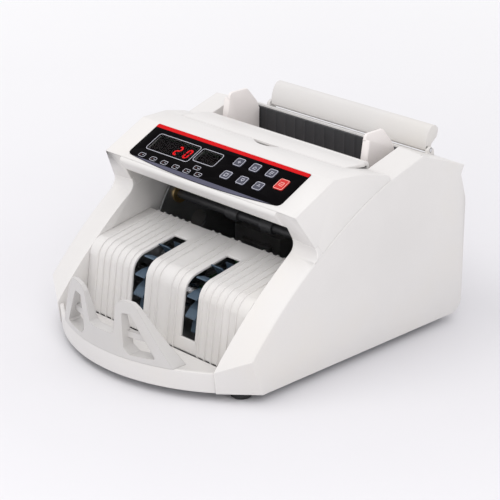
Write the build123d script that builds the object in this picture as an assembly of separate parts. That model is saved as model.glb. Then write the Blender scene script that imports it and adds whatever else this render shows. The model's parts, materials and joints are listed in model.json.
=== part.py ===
from build123d import *
import math
import os

# Desktop banknote counter. Millimetres. +X right, +Y back, +Z up.
# Origin: on the table, under the middle of the machine.

# ---------------------------------------------------------------- casing
HALF_WIDTH = 125.0          # outer faces of the side covers
CHEEK_INNER = 98.0          # inner faces of the cheeks, either side of hopper and tray
CASE_BOTTOM = 7.0           # underside of the casing, on its feet
SKIN = 2.5                  # moulded wall thickness
SEAM = 0.25                 # gap between neighbouring mouldings
FRAME_INNER = 92.5          # inner faces of the steel side frames
FRAME_SHEET = 1.5
PAN_LOW = CASE_BOTTOM + 0.3  # underside of the sheet steel base pan
REAR_FACE = 151.0           # outer face of the rear wall
REAR_PROUD = 2.2            # how far sockets stand out of the rear wall
FOOT_PLACES = [(-103.0, -94.0), (103.0, -94.0), (-103.0, 112.0), (103.0, 112.0)]

# Side profile as (y, z) points. The cheek is a ruled face between two arcs.
INNER_ARC = [(-119.5, 26.2), (-40.0, 101.3), (52.0, 153.0)]
RIDGE_ARC = [(-103.0, 39.5), (-40.0, 98.2), (52.0, 150.4)]
INNER_FOOT = (-117.0, CASE_BOTTOM)
RIDGE_FOOT = (-91.5, CASE_BOTTOM)
INNER_PEAK = (93.0, 164.5)
RIDGE_PEAK = (93.0, 162.8)
DECK_REAR = (148.0, 142.0)
REAR_NOTCH = (144.5, 134.0)
REAR_TOP = (REAR_FACE, 114.0)
REAR_LOW = (REAR_FACE, 18.0)
REAR_BOTTOM = (136.0, CASE_BOTTOM)
REAR_SEAM_Z = 108.0
RIDGE_ROUND = 1.6
BLEND_RADIUS = 9.0          # concave round between a cheek and the head's ear
BLEND_WALL = 3.0
HOLLOW_STEP = 17.0          # spacing of the corner points of a cover's hollow

# ---------------------------------------------------------------- head
HEAD_FRONT = (-47.0, 142.0)         # front edge of the control face
HEAD_CREST = (-3.5, 163.0)          # rear edge of the control face
HEAD_LEDGE = (27.0, 161.6)          # seam with the hopper chute
HEAD_REAR = (53.5, 154.6)           # valley in front of the shoulders
LIP_LOW = (-23.8, 100.0)            # front lip plane carried down
LIP_BOTTOM_Z = 127.5                # lower edge of the lip between the cheeks
CREST_HALF = 115.3                  # half width of the control face
FACET_TOE = (-28.7, 107.0)          # where the side facets meet the ridge in front
NOSE_FRONT = (-50.6, 140.25)        # sharp front edge of the nose along the lip
NOSE_LOW = (-40.2, 127.5)           # sharp lower edge of the nose
NOSE_HALF = 94.5
NOSE_ROUNDS = (3.2, 6.5)            # round of its front edge, round of its lower edge
NOTCH_X = 9.0                       # finger notch in the head's rear edge
NOTCH_RADIUS = 24.0
NOTCH_DEPTH = 6.5
NOTCH_FLOOR_Z = 158.2

# ---------------------------------------------------------------- control face
PANEL_ANGLE = math.degrees(math.atan2(HEAD_CREST[1] - HEAD_FRONT[1], HEAD_CREST[0] - HEAD_FRONT[0]))
OVERLAY_HALF = 92.0
OVERLAY_LOW = 3.4           # distances up the control face from its front edge
OVERLAY_HIGH = 46.6
OVERLAY_THICK = 0.8
OVERLAY_BOW = 2.8
COUNT_WINDOW = (-79.0, -28.6, 17.9, 36.0)       # x low, x high, low and high up the face
BATCH_WINDOW = (-24.0, -0.6, 22.0, 35.6)
KEY_SIZE = (10.0, 9.4)
KEY_COLUMNS = [20.0, 38.9, 57.7]
KEY_ROWS = {"upper": 34.5, "lower": 17.8}
RESET_KEY = (75.8, 27.0, 10.8, 12.2)            # x, up the face, width, height
KEY_GAP = 0.3
KEY_PROUD = 0.7

# ---------------------------------------------------------------- tray and fence
TRAY_CENTRE_Y = 7.0
TRAY_RADIUS = 158.0
TRAY_WALL = 3.6
TRAY_RIM_Z = 24.5
TRAY_FLOOR_Z = 13.0
TRAY_DRAFT = 1.4
FENCE_TOP_Z = 77.2
FENCE_LEAN = 0.063          # outward lean of the fingers per unit height
STACKER_PATH = [(-88.0, 13.4), (-80.0, 72.0), (-13.0, 84.0)]
STACKER_BEND = 16.0
TRAY_BACK_Y = -90.5         # the tray ends in front of the stacker plate's ribs

# ---------------------------------------------------------------- hopper
HOPPER_RIM = (59.0, 158.4)
HOPPER_BACK_Y = 109.0
FLOOR_FRONT = (54.5, 113.0)
FLOOR_REAR = (106.0, 128.0)
GUIDE_INNER = 80.0
GUIDE_THICK = 3.0
GUIDE_TOP_Z = 177.0
RAIL = (90.0, 110.0)
RAIL_RADIUS = 3.0

# ---------------------------------------------------------------- mechanism
FEED_AXIS = (38.0, 100.0)
PICKUP_AXIS = (72.0, 105.5)
IDLER_AXIS = (18.1, 92.1)
IMPELLER_AXIS = (-51.0, 46.0)
FEED_MOTOR_AXIS = (95.0, 40.0)
STACKER_MOTOR_AXIS = (6.0, 34.0)
FEED_ROLLER_RADIUS = 15.0
PICKUP_ROLLER_RADIUS = 14.0
IDLER_ROLLER_RADIUS = 6.0
IMPELLER_RADIUS = 34.0
IMPELLER_X = 32.5
IMPELLER_WIDTH = 12.0
SHAFT_RADIUS = 4.0
MOTOR_SHAFT_RADIUS = 2.5
RUNNING_GAP = 0.05
BUSH_RADIUS = 7.0
BELT_WIDTH = 6.0
BELT_THICK = 1.4
DRIVE_X = 105.5             # belt plane of the motor drives
PICKUP_DRIVE_X = 115.5      # belt plane of the pickup drive
BIG_PULLEY = 14.0
SMALL_PULLEY = 7.0
PICKUP_PULLEY = 9.0
SCREW_X = 27.0
SCREW_Y = 40.0
SCREW_ROD_LOW = 121.0

# ---------------------------------------------------------------- power
INLET_BODY = ((-84.0, -56.0), (30.0, 50.0))         # x low and high, z low and high
SWITCH_BODY = ((-43.5, -30.0), (30.0, 50.0))

# ---------------------------------------------------------------- carry bar
BAR_AXIS = (135.5, 151.0)
BAR_HALF = 93.5
PIN_RADIUS = 1.6
BAR_ARC_ENDS = [(133.2, 150.4), (138.4, 168.8), (149.0, 165.4)]
BAR_UNDERSIDE = [(147.4, 159.4), (141.0, 154.6), (139.2, 149.6), (135.5, 148.2)]


# ================================================================ helpers
def box(x_low, x_high, y_low, y_high, z_low, z_high):
    solid = Box(x_high - x_low, y_high - y_low, z_high - z_low)
    return Pos((x_low + x_high) / 2, (y_low + y_high) / 2, (z_low + z_high) / 2) * solid


def prism(points, x_low, x_high):
    """A (y, z) outline carried from x_low to x_high."""
    outline = Wire.make_polygon([(x_low, y, z) for y, z in points], close=True)
    return Solid.extrude(Face(outline), Vector(x_high - x_low, 0, 0))


def plan_prism(points, z_low, z_high):
    """An (x, y) outline carried from z_low to z_high."""
    outline = Wire.make_polygon([(x, y, z_low) for x, y in points], close=True)
    return Solid.extrude(Face(outline), Vector(0, 0, z_high - z_low))


def front_prism(points, y_low, y_high):
    """An (x, z) outline carried from y_low to y_high."""
    outline = Wire.make_polygon([(x, y_low, z) for x, z in points], close=True)
    return Solid.extrude(Face(outline), Vector(0, y_high - y_low, 0))


def rod(centre, radius, x_low, x_high):
    """A cylinder along X about the (y, z) centre."""
    plane = Plane(origin=(x_low, centre[0], centre[1]), x_dir=(0, 1, 0), z_dir=(1, 0, 0))
    return Solid.make_cylinder(radius, x_high - x_low, plane)


def post(x, y, radius, z_low, z_high):
    return Solid.make_cylinder(radius, z_high - z_low, Plane((x, y, z_low)))


def back_rod(x, z, radius, y_low, y_high):
    """A cylinder along Y."""
    plane = Plane(origin=(x, y_low, z), x_dir=(1, 0, 0), z_dir=(0, 1, 0))
    return Solid.make_cylinder(radius, y_high - y_low, plane)


def mirrored(solid):
    return mirror(solid, Plane.YZ)


def both_sides(solid):
    return [solid, mirrored(solid)]


def on_face(x, up, out=0.0):
    """A point on the control face: x across, up the slope, out along its normal."""
    angle = math.radians(PANEL_ANGLE)
    y = HEAD_FRONT[0] + up * math.cos(angle) - out * math.sin(angle)
    z = HEAD_FRONT[1] + up * math.sin(angle) + out * math.cos(angle)
    return (x, y, z)


def face_plane(out=0.0):
    angle = math.radians(PANEL_ANGLE)
    return Plane(origin=on_face(0, 0, out), x_dir=(1, 0, 0), z_dir=(0, -math.sin(angle), math.cos(angle)))


def face_slab(x_low, x_high, up_low, up_high, out_low, out_high, corner=0.0):
    """A block standing on the control face, with rounded corners."""
    width = x_high - x_low
    height = up_high - up_low
    sketch = RectangleRounded(width, height, corner) if corner else Rectangle(width, height)
    centre = Pos((x_low + x_high) / 2, (up_low + up_high) / 2, 0)
    return extrude(face_plane(out_low) * (centre * sketch), amount=out_high - out_low)


def save(name, shape):
    solids = shape if isinstance(shape, list) else [shape]
    flat = [piece for item in solids for piece in item.solids()]
    result = flat[0] if len(flat) == 1 else Compound(children=flat)
    export_step(result, os.path.join("parts", name + ".step"))


# ================================================================ casing
def circle_through(points):
    """Centre and radius of the circle through three (y, z) points."""
    arc = Edge.make_three_point_arc(*[(y, z, 0) for y, z in points])
    return arc.arc_center, arc.radius


def blend_corners(arc):
    """Corners of the raised end of a cheek that meets the ear's front plane, as (y, z).

    The start on the cheek, the middle of the concave round, its end on the plane, the back
    of the raised end, and the place behind it where the cheek goes on.
    """
    centre, radius = circle_through(arc)
    plane_foot = Vector(*LIP_LOW)
    up = (Vector(*HEAD_FRONT) - plane_foot).normalized()
    front = Vector(-up.Y, up.X)
    start = plane_foot + front * BLEND_RADIUS - centre
    reach = (radius + BLEND_RADIUS) ** 2 - start.dot(start)
    top = plane_foot + up * (math.sqrt(start.dot(up) ** 2 + reach) - start.dot(up))
    round_centre = top + front * BLEND_RADIUS
    low = centre + (round_centre - centre).normalized() * radius
    middle = round_centre + (top + low - round_centre * 2).normalized() * BLEND_RADIUS
    back = top - front * BLEND_WALL
    offset = back - centre
    fall = offset.dot(up) - math.sqrt(offset.dot(up) ** 2 - offset.dot(offset) + radius ** 2)
    return low, middle, top, back, back - up * fall


def arc_between(x, start, end, centre, radius):
    """Part of a cheek's arc at one x position."""
    middle = centre + (start + end - centre * 2).normalized() * radius
    return Edge.make_three_point_arc(*[(x, place.X, place.Y) for place in (start, middle, end)])


def cheek_wire(x, foot, arc, peak, raised):
    """The closed side outline at one x position, with or without its raised end."""
    centre, radius = circle_through(arc)
    low, middle, top, back, landing = blend_corners(arc)
    if raised:
        end = [Edge.make_three_point_arc(*[(x, place.X, place.Y) for place in (low, middle, top)]),
               Edge.make_line((x, top.X, top.Y), (x, back.X, back.Y)),
               Edge.make_line((x, back.X, back.Y), (x, landing.X, landing.Y))]
    else:
        end = [arc_between(x, low, landing, centre, radius)]
    upper = [arc_between(x, Vector(*arc[0]), low, centre, radius), *end,
             arc_between(x, landing, Vector(*arc[-1]), centre, radius)]
    corners = [(x, y, z) for y, z in (arc[-1], peak, DECK_REAR, REAR_NOTCH, REAR_TOP, REAR_LOW)]
    rear = [Edge.make_line(start, end) for start, end in zip(corners, corners[1:])]
    bend = (x, REAR_FACE - 3.6, CASE_BOTTOM + 3.4)
    bottom = (x, *REAR_BOTTOM)
    under = [Edge.make_three_point_arc(corners[-1], bend, bottom),
             Edge.make_line(bottom, (x, *foot)),
             Edge.make_line((x, *foot), (x, *arc[0]))]
    return Wire(upper + rear + under)


def cheek_loft(raised):
    """The whole volume of the right-hand side, from the cheek's inner face out."""
    inner = cheek_wire(CHEEK_INNER, INNER_FOOT, INNER_ARC, INNER_PEAK, raised)
    outer = cheek_wire(HALF_WIDTH, RIDGE_FOOT, RIDGE_ARC, RIDGE_PEAK, raised)
    return Solid.make_loft([inner, outer], ruled=True)


def raised_end():
    """What rises from the cheek to meet the head's ear, as far out as the head's side facet."""
    return cheek_loft(True) - cheek_loft(False) - head_facet_cutter()


def cheek_shell():
    """The side volume with its ridge rounded, and its raised end."""
    block = cheek_loft(False)
    ridge = [edge for edge in block.edges() if edge.center().X > HALF_WIDTH - 0.01
             and edge.center().Z > CASE_BOTTOM + 8 and edge.center().Y < REAR_FACE - 2]
    return block.fillet(RIDGE_ROUND, ridge) + raised_end()


def slope_points(drop):
    """The ridge outline lowered by drop, as corner points for hollows."""
    centre, radius = circle_through(RIDGE_ARC)
    steps = [-84.0 + HOLLOW_STEP * step for step in range(9)]
    return [(y, centre.Y + math.sqrt(radius ** 2 - (y - centre.X) ** 2) - drop) for y in steps]


def side_cover():
    """Right-hand moulding: side wall, sloping cheek, foot and shoulder."""
    shell = cheek_shell()
    hollow = slope_points(9.0) + [(90.0, 157.0), (142.0, 136.0), (139.0, 131.5), (148.0, 112.0),
                                  (148.0, 20.0), (136.0, 9.5), (136.0, 0.0), (-84.0, 0.0)]
    shell = shell - prism(hollow, CHEEK_INNER + SKIN, HALF_WIDTH - SKIN)
    doorway = [(-84.5, 0.0), (-84.5, 9.5), (-70.0, 9.5), (-70.0, 60.0), (-50.0, 70.0),
               (-8.0, 76.0), (14.0, 84.0), (30.0, 112.0), (140.0, 112.0), (140.0, 0.0)]
    shell = shell - prism(doorway, CHEEK_INNER - 1, CHEEK_INNER + SKIN + 1)
    toe = plan_prism([(CHEEK_INNER + SKIN, -111.0), (HALF_WIDTH - SKIN, -90.5),
                      (HALF_WIDTH - SKIN, -83.0), (CHEEK_INNER + SKIN, -83.0)], 0.0, 24.0)
    foot_x, foot_y = FOOT_PLACES[1]
    return shell - (toe - post(foot_x, foot_y, 9.5, 0.0, 30.0))


def head_facet_cutter(inset=0.0):
    """Everything outside the sloping side facet of the head, on the right."""
    front = Vector(CREST_HALF - inset, HEAD_FRONT[0], HEAD_FRONT[1])
    crest = Vector(CREST_HALF + 0.3 - inset, HEAD_CREST[0], HEAD_CREST[1])
    toe = Vector(HALF_WIDTH - inset, *FACET_TOE)
    normal = (crest - front).cross(toe - front).normalized()
    outward = normal if normal.X > 0 else -normal
    plane = Plane(origin=front, z_dir=outward)
    return plane * Pos(0, 0, 200) * Box(600, 600, 400)


def head_volume(inset, half_width):
    """The head's outer body, or its hollow when inset."""
    front = (HEAD_FRONT[0] + inset * 1.5, HEAD_FRONT[1] - inset * 0.75)
    crest = (HEAD_CREST[0], HEAD_CREST[1] - inset * 1.12)
    ledge = (HEAD_LEDGE[0], HEAD_LEDGE[1] - inset)
    rear = (HEAD_REAR[0] - inset, HEAD_REAR[1] - inset)
    foot = (HEAD_REAR[0] - inset, LIP_LOW[1])
    toe = (LIP_LOW[0] + inset * 1.1, LIP_LOW[1])
    body = prism([front, crest, ledge, rear, foot, toe], -half_width, half_width)
    cutter = head_facet_cutter(inset)
    return body - cutter - mirrored(cutter)


def cheek_volumes():
    """The volumes of both cheeks and their raised ends, with sharp ridges."""
    return both_sides(cheek_loft(False)) + both_sides(raised_end())


def head_housing():
    """Control housing: sloping face, front lip, side ears that rest on the cheeks."""
    body = head_volume(0.0, HALF_WIDTH)
    mouth = box(-CHEEK_INNER - SEAM, CHEEK_INNER + SEAM, -60, HEAD_REAR[0] + 5, 90, LIP_BOTTOM_Z)
    body = body - mouth
    for volume in cheek_volumes():
        body = body - volume
    chute_space = box(-CHEEK_INNER - SEAM, CHEEK_INNER + SEAM, HEAD_LEDGE[0] - SEAM, 70, 90, 170)
    body = body - chute_space
    hollow = head_volume(SKIN, HALF_WIDTH - 1.0)
    ear_walls = [box(CHEEK_INNER - 2, CHEEK_INNER + SKIN, -60, 70, 80, LIP_BOTTOM_Z + SKIN)]
    ear_walls.append(mirrored(ear_walls[0]))
    rear_wall = box(-CHEEK_INNER - 4, CHEEK_INNER + 4, HEAD_LEDGE[0] - SKIN, 60, 140, 170)
    side_walls = [box(CHEEK_INNER - 1, CHEEK_INNER + SKIN, HEAD_LEDGE[0] - SKIN, 60, 120, 170)]
    side_walls.append(mirrored(side_walls[0]))
    notch_bed = box(NOTCH_X - 19, NOTCH_X + 19, HEAD_LEDGE[0] - 10, HEAD_LEDGE[0], NOTCH_FLOOR_Z - SKIN, 170)
    for wall in ear_walls + side_walls + [rear_wall, notch_bed]:
        hollow = hollow - wall
    body = body - hollow + nose()
    overlay_bed = overlay_slab(OVERLAY_HALF + 0.4, 0.4, -0.6, 5.0)
    body = body - overlay_bed
    for x_low, x_high, low, high in (COUNT_WINDOW, BATCH_WINDOW):
        body = body - face_slab(x_low - 1, x_high + 1, low - 1, high + 1, -6, 3)
    for x, up, width, height in key_places().values():
        half_w = width / 2 + KEY_GAP
        half_h = height / 2 + KEY_GAP
        body = body - face_slab(x - half_w, x + half_w, up - half_h, up + half_h, -6, 3, 2.2)
    notch = post(NOTCH_X, HEAD_LEDGE[0] - NOTCH_DEPTH + NOTCH_RADIUS, NOTCH_RADIUS, NOTCH_FLOOR_Z, 170)
    return body - notch


def nose():
    """Rounded nose along the front of the head, between the ears."""
    back_y = NOSE_LOW[0] + 5.6
    outline = [on_face(0, 1.0)[1:], NOSE_FRONT, NOSE_LOW, (back_y, LIP_BOTTOM_Z),
               (back_y, LIP_BOTTOM_Z + 3.0), (HEAD_FRONT[0] + 2.2, HEAD_FRONT[1] - 3.0)]
    block = prism(outline, -NOSE_HALF, NOSE_HALF)
    for place, radius in zip((NOSE_FRONT, NOSE_LOW), NOSE_ROUNDS):
        edge = block.edges().filter_by(Axis.X).sort_by_distance((0, *place))[0]
        block = block.fillet(radius, [edge])
    return block


def overlay_slab(half, margin, out_low, out_high):
    """The control overlay's outline: straight top, bowed lower edge, rounded lower corners."""
    low = OVERLAY_LOW - margin
    high = OVERLAY_HIGH + margin
    with BuildSketch(face_plane(out_low)) as sketch:
        with BuildLine():
            Line((-half, high), (half, high))
            Line((half, high), (half, low + OVERLAY_BOW))
            ThreePointArc((half, low + OVERLAY_BOW), (0, low - OVERLAY_BOW), (-half, low + OVERLAY_BOW))
            Line((-half, low + OVERLAY_BOW), (-half, high))
        make_face()
        fillet(sketch.vertices().sort_by(Axis.Y)[0:2], 5.0)
        fillet(sketch.vertices().sort_by(Axis.Y)[-2:], 1.5)
    return extrude(sketch.sketch, amount=out_high - out_low)


def key_places():
    """Every key on the face: x, distance up the face, width, height."""
    places = {}
    for row, up in KEY_ROWS.items():
        for number, x in enumerate(KEY_COLUMNS, start=1):
            places[f"key_{row}_{number}"] = (x, up, *KEY_SIZE)
    places["key_reset"] = RESET_KEY
    return places


def head_underplate():
    """Black plate that closes the head from below, over the stacker mouth."""
    return box(-CHEEK_INNER + 2.5, CHEEK_INNER - 2.5, -34.5, 24.0, LIP_BOTTOM_Z + 0.3, LIP_BOTTOM_Z + 2.3)


def hopper_chute():
    """Panel from the head's seam to the hopper mouth, turned down into the hopper."""
    half = CHEEK_INNER - SEAM
    seam = HEAD_LEDGE[0] + SEAM
    outline = [(seam, HEAD_LEDGE[1]), (HOPPER_RIM[0] - 3.0, HOPPER_RIM[1] + 0.6), HOPPER_RIM,
               (60.2, 155.5), (54.0, 123.0), (51.4, 122.0), (57.2, 154.6), (55.5, 155.8),
               (seam, HEAD_LEDGE[1] - SKIN)]
    panel = prism(outline, -half, half)
    for relief in both_sides(box(half - 2.4, half + 1, HOPPER_RIM[0] - 7.0, HOPPER_RIM[0] + 3.0, 150, 165)):
        panel = panel - relief
    for x in (-24.0, 24.0 + 2 * 6.0):
        panel = panel + box(x - 2.0, x + 2.0, 49.0, 54.6, 122.5, 140.0)
    return panel


def hopper_floor():
    """Sloping floor with windows for the pickup rollers and slots for the guides."""
    rise = (FLOOR_REAR[1] - FLOOR_FRONT[1]) / (FLOOR_REAR[0] - FLOOR_FRONT[0])
    outline = [FLOOR_FRONT, FLOOR_REAR, (FLOOR_REAR[0], FLOOR_REAR[1] - 2.4),
               (FLOOR_FRONT[0] + 1.5, FLOOR_FRONT[1] - 2.0)]
    floor = prism(outline, -CHEEK_INNER + SEAM, CHEEK_INNER - SEAM)
    for window in both_sides(box(9, 31, 56.5, 87.5, 100, 140)):
        floor = floor - window
    for slot in both_sides(box(34, 93.5, RAIL[0] - 5, RAIL[0] + 5, 100, 140)):
        floor = floor - slot
    rib_y = (FLOOR_FRONT[0] + 2.0, FLOOR_REAR[0] - 1.0)
    rib_z = [FLOOR_FRONT[1] + rise * (y - FLOOR_FRONT[0]) for y in rib_y]
    for x in (-5.0, 0.0, 5.0):
        rib = prism([(rib_y[0], rib_z[0] - 0.5), (rib_y[1], rib_z[1] - 0.5),
                     (rib_y[1], rib_z[1] + 0.7), (rib_y[0], rib_z[0] + 0.7)], x - 0.8, x + 0.8)
        floor = floor + rib
    return floor


def hopper_back():
    """Grey wall behind the note stack."""
    half = CHEEK_INNER - SEAM
    wall = box(-half, half, HOPPER_BACK_Y - 2.6, HOPPER_BACK_Y - SEAM, 124.5, 156.4)
    for x in range(-84, 85, 12):
        wall = wall + box(x - 0.8, x + 0.8, HOPPER_BACK_Y - 3.3, HOPPER_BACK_Y - 2.5, 130, 156.4)
    return wall


def rear_deck():
    """Deck behind the hopper, with the upper rear wall and the carry bar's lugs."""
    slope = (DECK_REAR[1] - INNER_PEAK[1]) / (DECK_REAR[0] - INNER_PEAK[0])
    front_z = INNER_PEAK[1] + slope * (HOPPER_BACK_Y - INNER_PEAK[0])
    outline = [(HOPPER_BACK_Y, front_z), DECK_REAR, REAR_NOTCH, REAR_TOP,
               (REAR_FACE, REAR_SEAM_Z + SEAM / 2), (REAR_FACE - SKIN, REAR_SEAM_Z + SEAM / 2),
               (REAR_FACE - SKIN, REAR_TOP[1] - 0.6), (REAR_NOTCH[0] - 3.0, REAR_NOTCH[1] - 0.4),
               (DECK_REAR[0] - 3.4, DECK_REAR[1] - 1.6), (HOPPER_BACK_Y + SKIN, front_z - SKIN - 0.6),
               (HOPPER_BACK_Y + SKIN, 128.0), (HOPPER_BACK_Y, 128.0)]
    deck = prism(outline, -CHEEK_INNER + SEAM, CHEEK_INNER - SEAM)
    for x in (-BAR_HALF - 2.2, BAR_HALF + 2.2):
        lug = prism([(131.0, 146.0), (131.5, 151.5), (135.5, 154.0), (139.5, 151.0), (141.0, 143.0)],
                    x - 1.6, x + 1.6)
        deck = deck + lug - rod(BAR_AXIS, PIN_RADIUS, x - 3, x + 3)
    return deck


def rear_panel():
    """Lower rear wall with louvres and openings for the electrical fittings."""
    half = CHEEK_INNER - SEAM
    panel = box(-half, half, REAR_FACE - SKIN, REAR_FACE, 17.0, REAR_SEAM_Z - SEAM / 2)
    for row in range(6):
        z = 72.0 + row * 5.5
        panel = panel - box(15, 80, REAR_FACE - 4, REAR_FACE + 1, z, z + 2.2)
    panel = panel - box(*INLET_BODY[0], REAR_FACE - 4, REAR_FACE + 1, *INLET_BODY[1])
    panel = panel - box(*SWITCH_BODY[0], REAR_FACE - 4, REAR_FACE + 1, *SWITCH_BODY[1])
    return panel


def base_pan():
    """Sheet steel pan that carries frames, motors and boards."""
    sheet = 1.2
    front_y = -84.0
    pan = box(-121.5, 121.5, front_y, 134.0, PAN_LOW, PAN_LOW + sheet)
    nose = plan_prism([(-95, front_y), (95, front_y), (88, -112), (55, -136), (0, -144),
                       (-55, -136), (-88, -112)], PAN_LOW, PAN_LOW + sheet)
    back_y = REAR_FACE - SKIN - 0.2
    tail = prism([(133.0, PAN_LOW), (135.0, PAN_LOW), (back_y, 17.4), (back_y, 30.0),
                  (back_y - sheet, 30.0), (back_y - sheet, 18.0), (134.4, PAN_LOW + sheet),
                  (133.0, PAN_LOW + sheet)], -96.5, 96.5)
    pan = pan + nose + (tail - box(-90, -20, 140, 160, 20, 40))
    for lip in both_sides(box(121.5 - sheet, 121.5, -80, 130, PAN_LOW, 18.0)):
        pan = pan + lip
    return pan


def rubber_feet():
    """Four turned rubber feet under the pan."""
    feet = []
    for x, y in FOOT_PLACES:
        top = CASE_BOTTOM if y < 0 else PAN_LOW
        foot = post(x, y, 9.0, 0.0, top)
        foot = foot.chamfer(1.2, None, foot.edges().sort_by(Axis.Z)[:1])
        feet.append(foot)
    return feet


def stacker_tray():
    """Front tray: curved wall, flat rim and floor."""
    half = CHEEK_INNER - SEAM
    wall = Solid.make_cone(TRAY_RADIUS - TRAY_DRAFT, TRAY_RADIUS, TRAY_RIM_Z - CASE_BOTTOM,
                           Plane((0, TRAY_CENTRE_Y, CASE_BOTTOM)))
    hollow = post(0, TRAY_CENTRE_Y, TRAY_RADIUS - TRAY_WALL, TRAY_FLOOR_Z, TRAY_RIM_Z + 10)
    under = post(0, TRAY_CENTRE_Y, TRAY_RADIUS - TRAY_WALL, CASE_BOTTOM - 1, TRAY_FLOOR_Z - 2.0)
    tray = wall - hollow - under
    return tray & box(-half, half, -170, TRAY_BACK_Y, 0, 40)


def finger_outline():
    """Outline of the right-hand finger as seen from the front, (x, z) corners."""
    return [(14.0, 30.0), (14.6, 44.0), (19.4, 70.5), (23.5, 75.0), (30.5, 77.0), (37.5, 76.2),
            (41.3, 72.4), (68.4, TRAY_RIM_Z), (68.4, 20.0), (14.0, 20.0)]


def finger_fence():
    """Two A-shaped fingers on the tray's front wall, joined by a low wall."""
    lean = (FENCE_TOP_Z - TRAY_RIM_Z) * FENCE_LEAN
    radius = TRAY_RADIUS + 0.1
    section = [(radius - 12.5, TRAY_RIM_Z + 0.1), (radius, TRAY_RIM_Z + 0.1), (radius + lean, FENCE_TOP_Z),
               (radius + lean - 3.6, FENCE_TOP_Z)]
    with BuildSketch(Plane.XZ) as sketch:
        with BuildLine():
            Polyline(*section, close=True)
        make_face()
    ring = revolve(sketch.sketch, Axis.Z, 360)
    ring = Pos(0, TRAY_CENTRE_Y, 0) * ring
    finger = front_prism(finger_outline(), -170, -110)
    corners = [edge for edge in finger.edges().filter_by(Axis.Y) if edge.center().Z > 60]
    finger = finger.fillet(1.8, corners)
    hole = front_prism([(24.6, 34.0), (25.4, 65.2), (34.0, 65.8), (54.6, 30.2), (30.0, 29.0)], -175, -105)
    hole_corners = hole.edges().filter_by(Axis.Y)
    hole = hole.fillet(1.6, hole_corners)
    low_wall = front_prism([(-16, 20), (16, 20), (16, 46), (11, 43.0), (-11, 43.0), (-16, 46)], -170, -110)
    body = (finger - hole) + mirrored(finger - hole) + low_wall
    fence = ring & body
    crossbar = post(0, TRAY_CENTRE_Y, radius - 3.6, 42.2, 47.7)
    crossbar = crossbar - post(0, TRAY_CENTRE_Y, radius - 7.6, 40.0, 52.0)
    for side in both_sides(front_prism([(23, 40), (23, 50), (45.0, 50), (51, 40)], -170, -110)):
        fence = fence + (crossbar & side)
    return fence


def stacker_strip(thick, x_low, x_high):
    """A strip of the stacker plate: up from the tray, then back over the impellers."""
    with BuildSketch(Plane.YZ.offset(x_low)) as sketch:
        with BuildLine():
            FilletPolyline(*STACKER_PATH, radius=STACKER_BEND)
            offset(amount=thick / 2, side=Side.BOTH)
        make_face()
    return extrude(sketch.sketch, amount=x_high - x_low)


def stacker_plate():
    """Ribbed curved plate behind the stack, slotted for the impellers."""
    plate = stacker_strip(2.2, -CHEEK_INNER + SEAM, CHEEK_INNER - SEAM)
    for x in (8, 16, 46, 54, 62, 70, 78, 86):
        for place in (x, -x):
            plate = plate + stacker_strip(4.4, place - 0.7, place + 0.7)
    slots = both_sides(box(24.0, 41.0, -100, -34.0, 24.0, 100))
    for slot in slots:
        plate = plate - slot
    return plate


def impeller(centre_x):
    """Finned stacking wheel: a hub with a dozen swept rubber fins."""
    y, z = IMPELLER_AXIS
    x_low = centre_x - IMPELLER_WIDTH / 2
    x_high = centre_x + IMPELLER_WIDTH / 2
    wheel = rod(IMPELLER_AXIS, 13.0, x_low, x_high)
    fins = 12
    for number in range(fins):
        start = 2 * math.pi * number / fins
        spine = []
        for step in range(5):
            radius = 12.0 + (IMPELLER_RADIUS - 12.4) * step / 4
            angle = start + 0.16 * step
            spine.append((radius, angle))
        thick = [1.5, 1.3, 1.1, 1.0, 0.8]
        sides = []
        for side in (1, -1):
            turned = [(radius, angle + side * half / radius) for (radius, angle), half in zip(spine, thick)]
            sides.append([(y + r * math.cos(a), z + r * math.sin(a)) for r, a in turned])
        wheel = wheel + prism(sides[0] + sides[1][::-1], x_low, x_high)
    return wheel - rod(IMPELLER_AXIS, SHAFT_RADIUS, x_low - 1, x_high + 1)


# ================================================================ frames and shafts
def shaft_axes():
    return [FEED_AXIS, PICKUP_AXIS, IDLER_AXIS, IMPELLER_AXIS]


def side_frame():
    """Right-hand sheet steel frame with a folded foot."""
    outline = [(-66, 9.0), (-66, 56), (-46, 66), (-10, 73), (0, 92), (11, 108), (24, 118), (44, 118),
               (52, 108.5), (98, 121), (122, 90), (122, 9.0)]
    plate = prism(outline, FRAME_INNER, FRAME_INNER + FRAME_SHEET)
    foot_z = CASE_BOTTOM + 1.5
    foot = box(FRAME_INNER - 10, FRAME_INNER + FRAME_SHEET, -60, 118, foot_z, foot_z + FRAME_SHEET)
    plate = plate + foot
    for axis in shaft_axes():
        plate = plate - rod(axis, BUSH_RADIUS, FRAME_INNER - 1, FRAME_INNER + 3)
    plate = plate - rod(RAIL, RAIL_RADIUS, FRAME_INNER - 1, FRAME_INNER + 3)
    plate = plate - rod(FEED_MOTOR_AXIS, 8.0, FRAME_INNER - 1, FRAME_INNER + 3)
    plate = plate - rod(STACKER_MOTOR_AXIS, 8.0, FRAME_INNER - 1, FRAME_INNER + 3)
    for y, z in ((-30, 30), (40, 62), (40, 30)):
        plate = plate - rod((y, z), 9.0, FRAME_INNER - 1, FRAME_INNER + 3)
    return plate


def shaft_bushes():
    """Flanged bushes, one in each frame for every shaft."""
    bushes = []
    for axis in shaft_axes():
        bush = rod(axis, BUSH_RADIUS, FRAME_INNER, FRAME_INNER + 2.6)
        bush = bush + rod(axis, BUSH_RADIUS + 1.4, FRAME_INNER - 1.4, FRAME_INNER)
        bush = bush - rod(axis, SHAFT_RADIUS + RUNNING_GAP, FRAME_INNER - 3, FRAME_INNER + 4)
        bushes += both_sides(bush)
    return bushes


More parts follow.
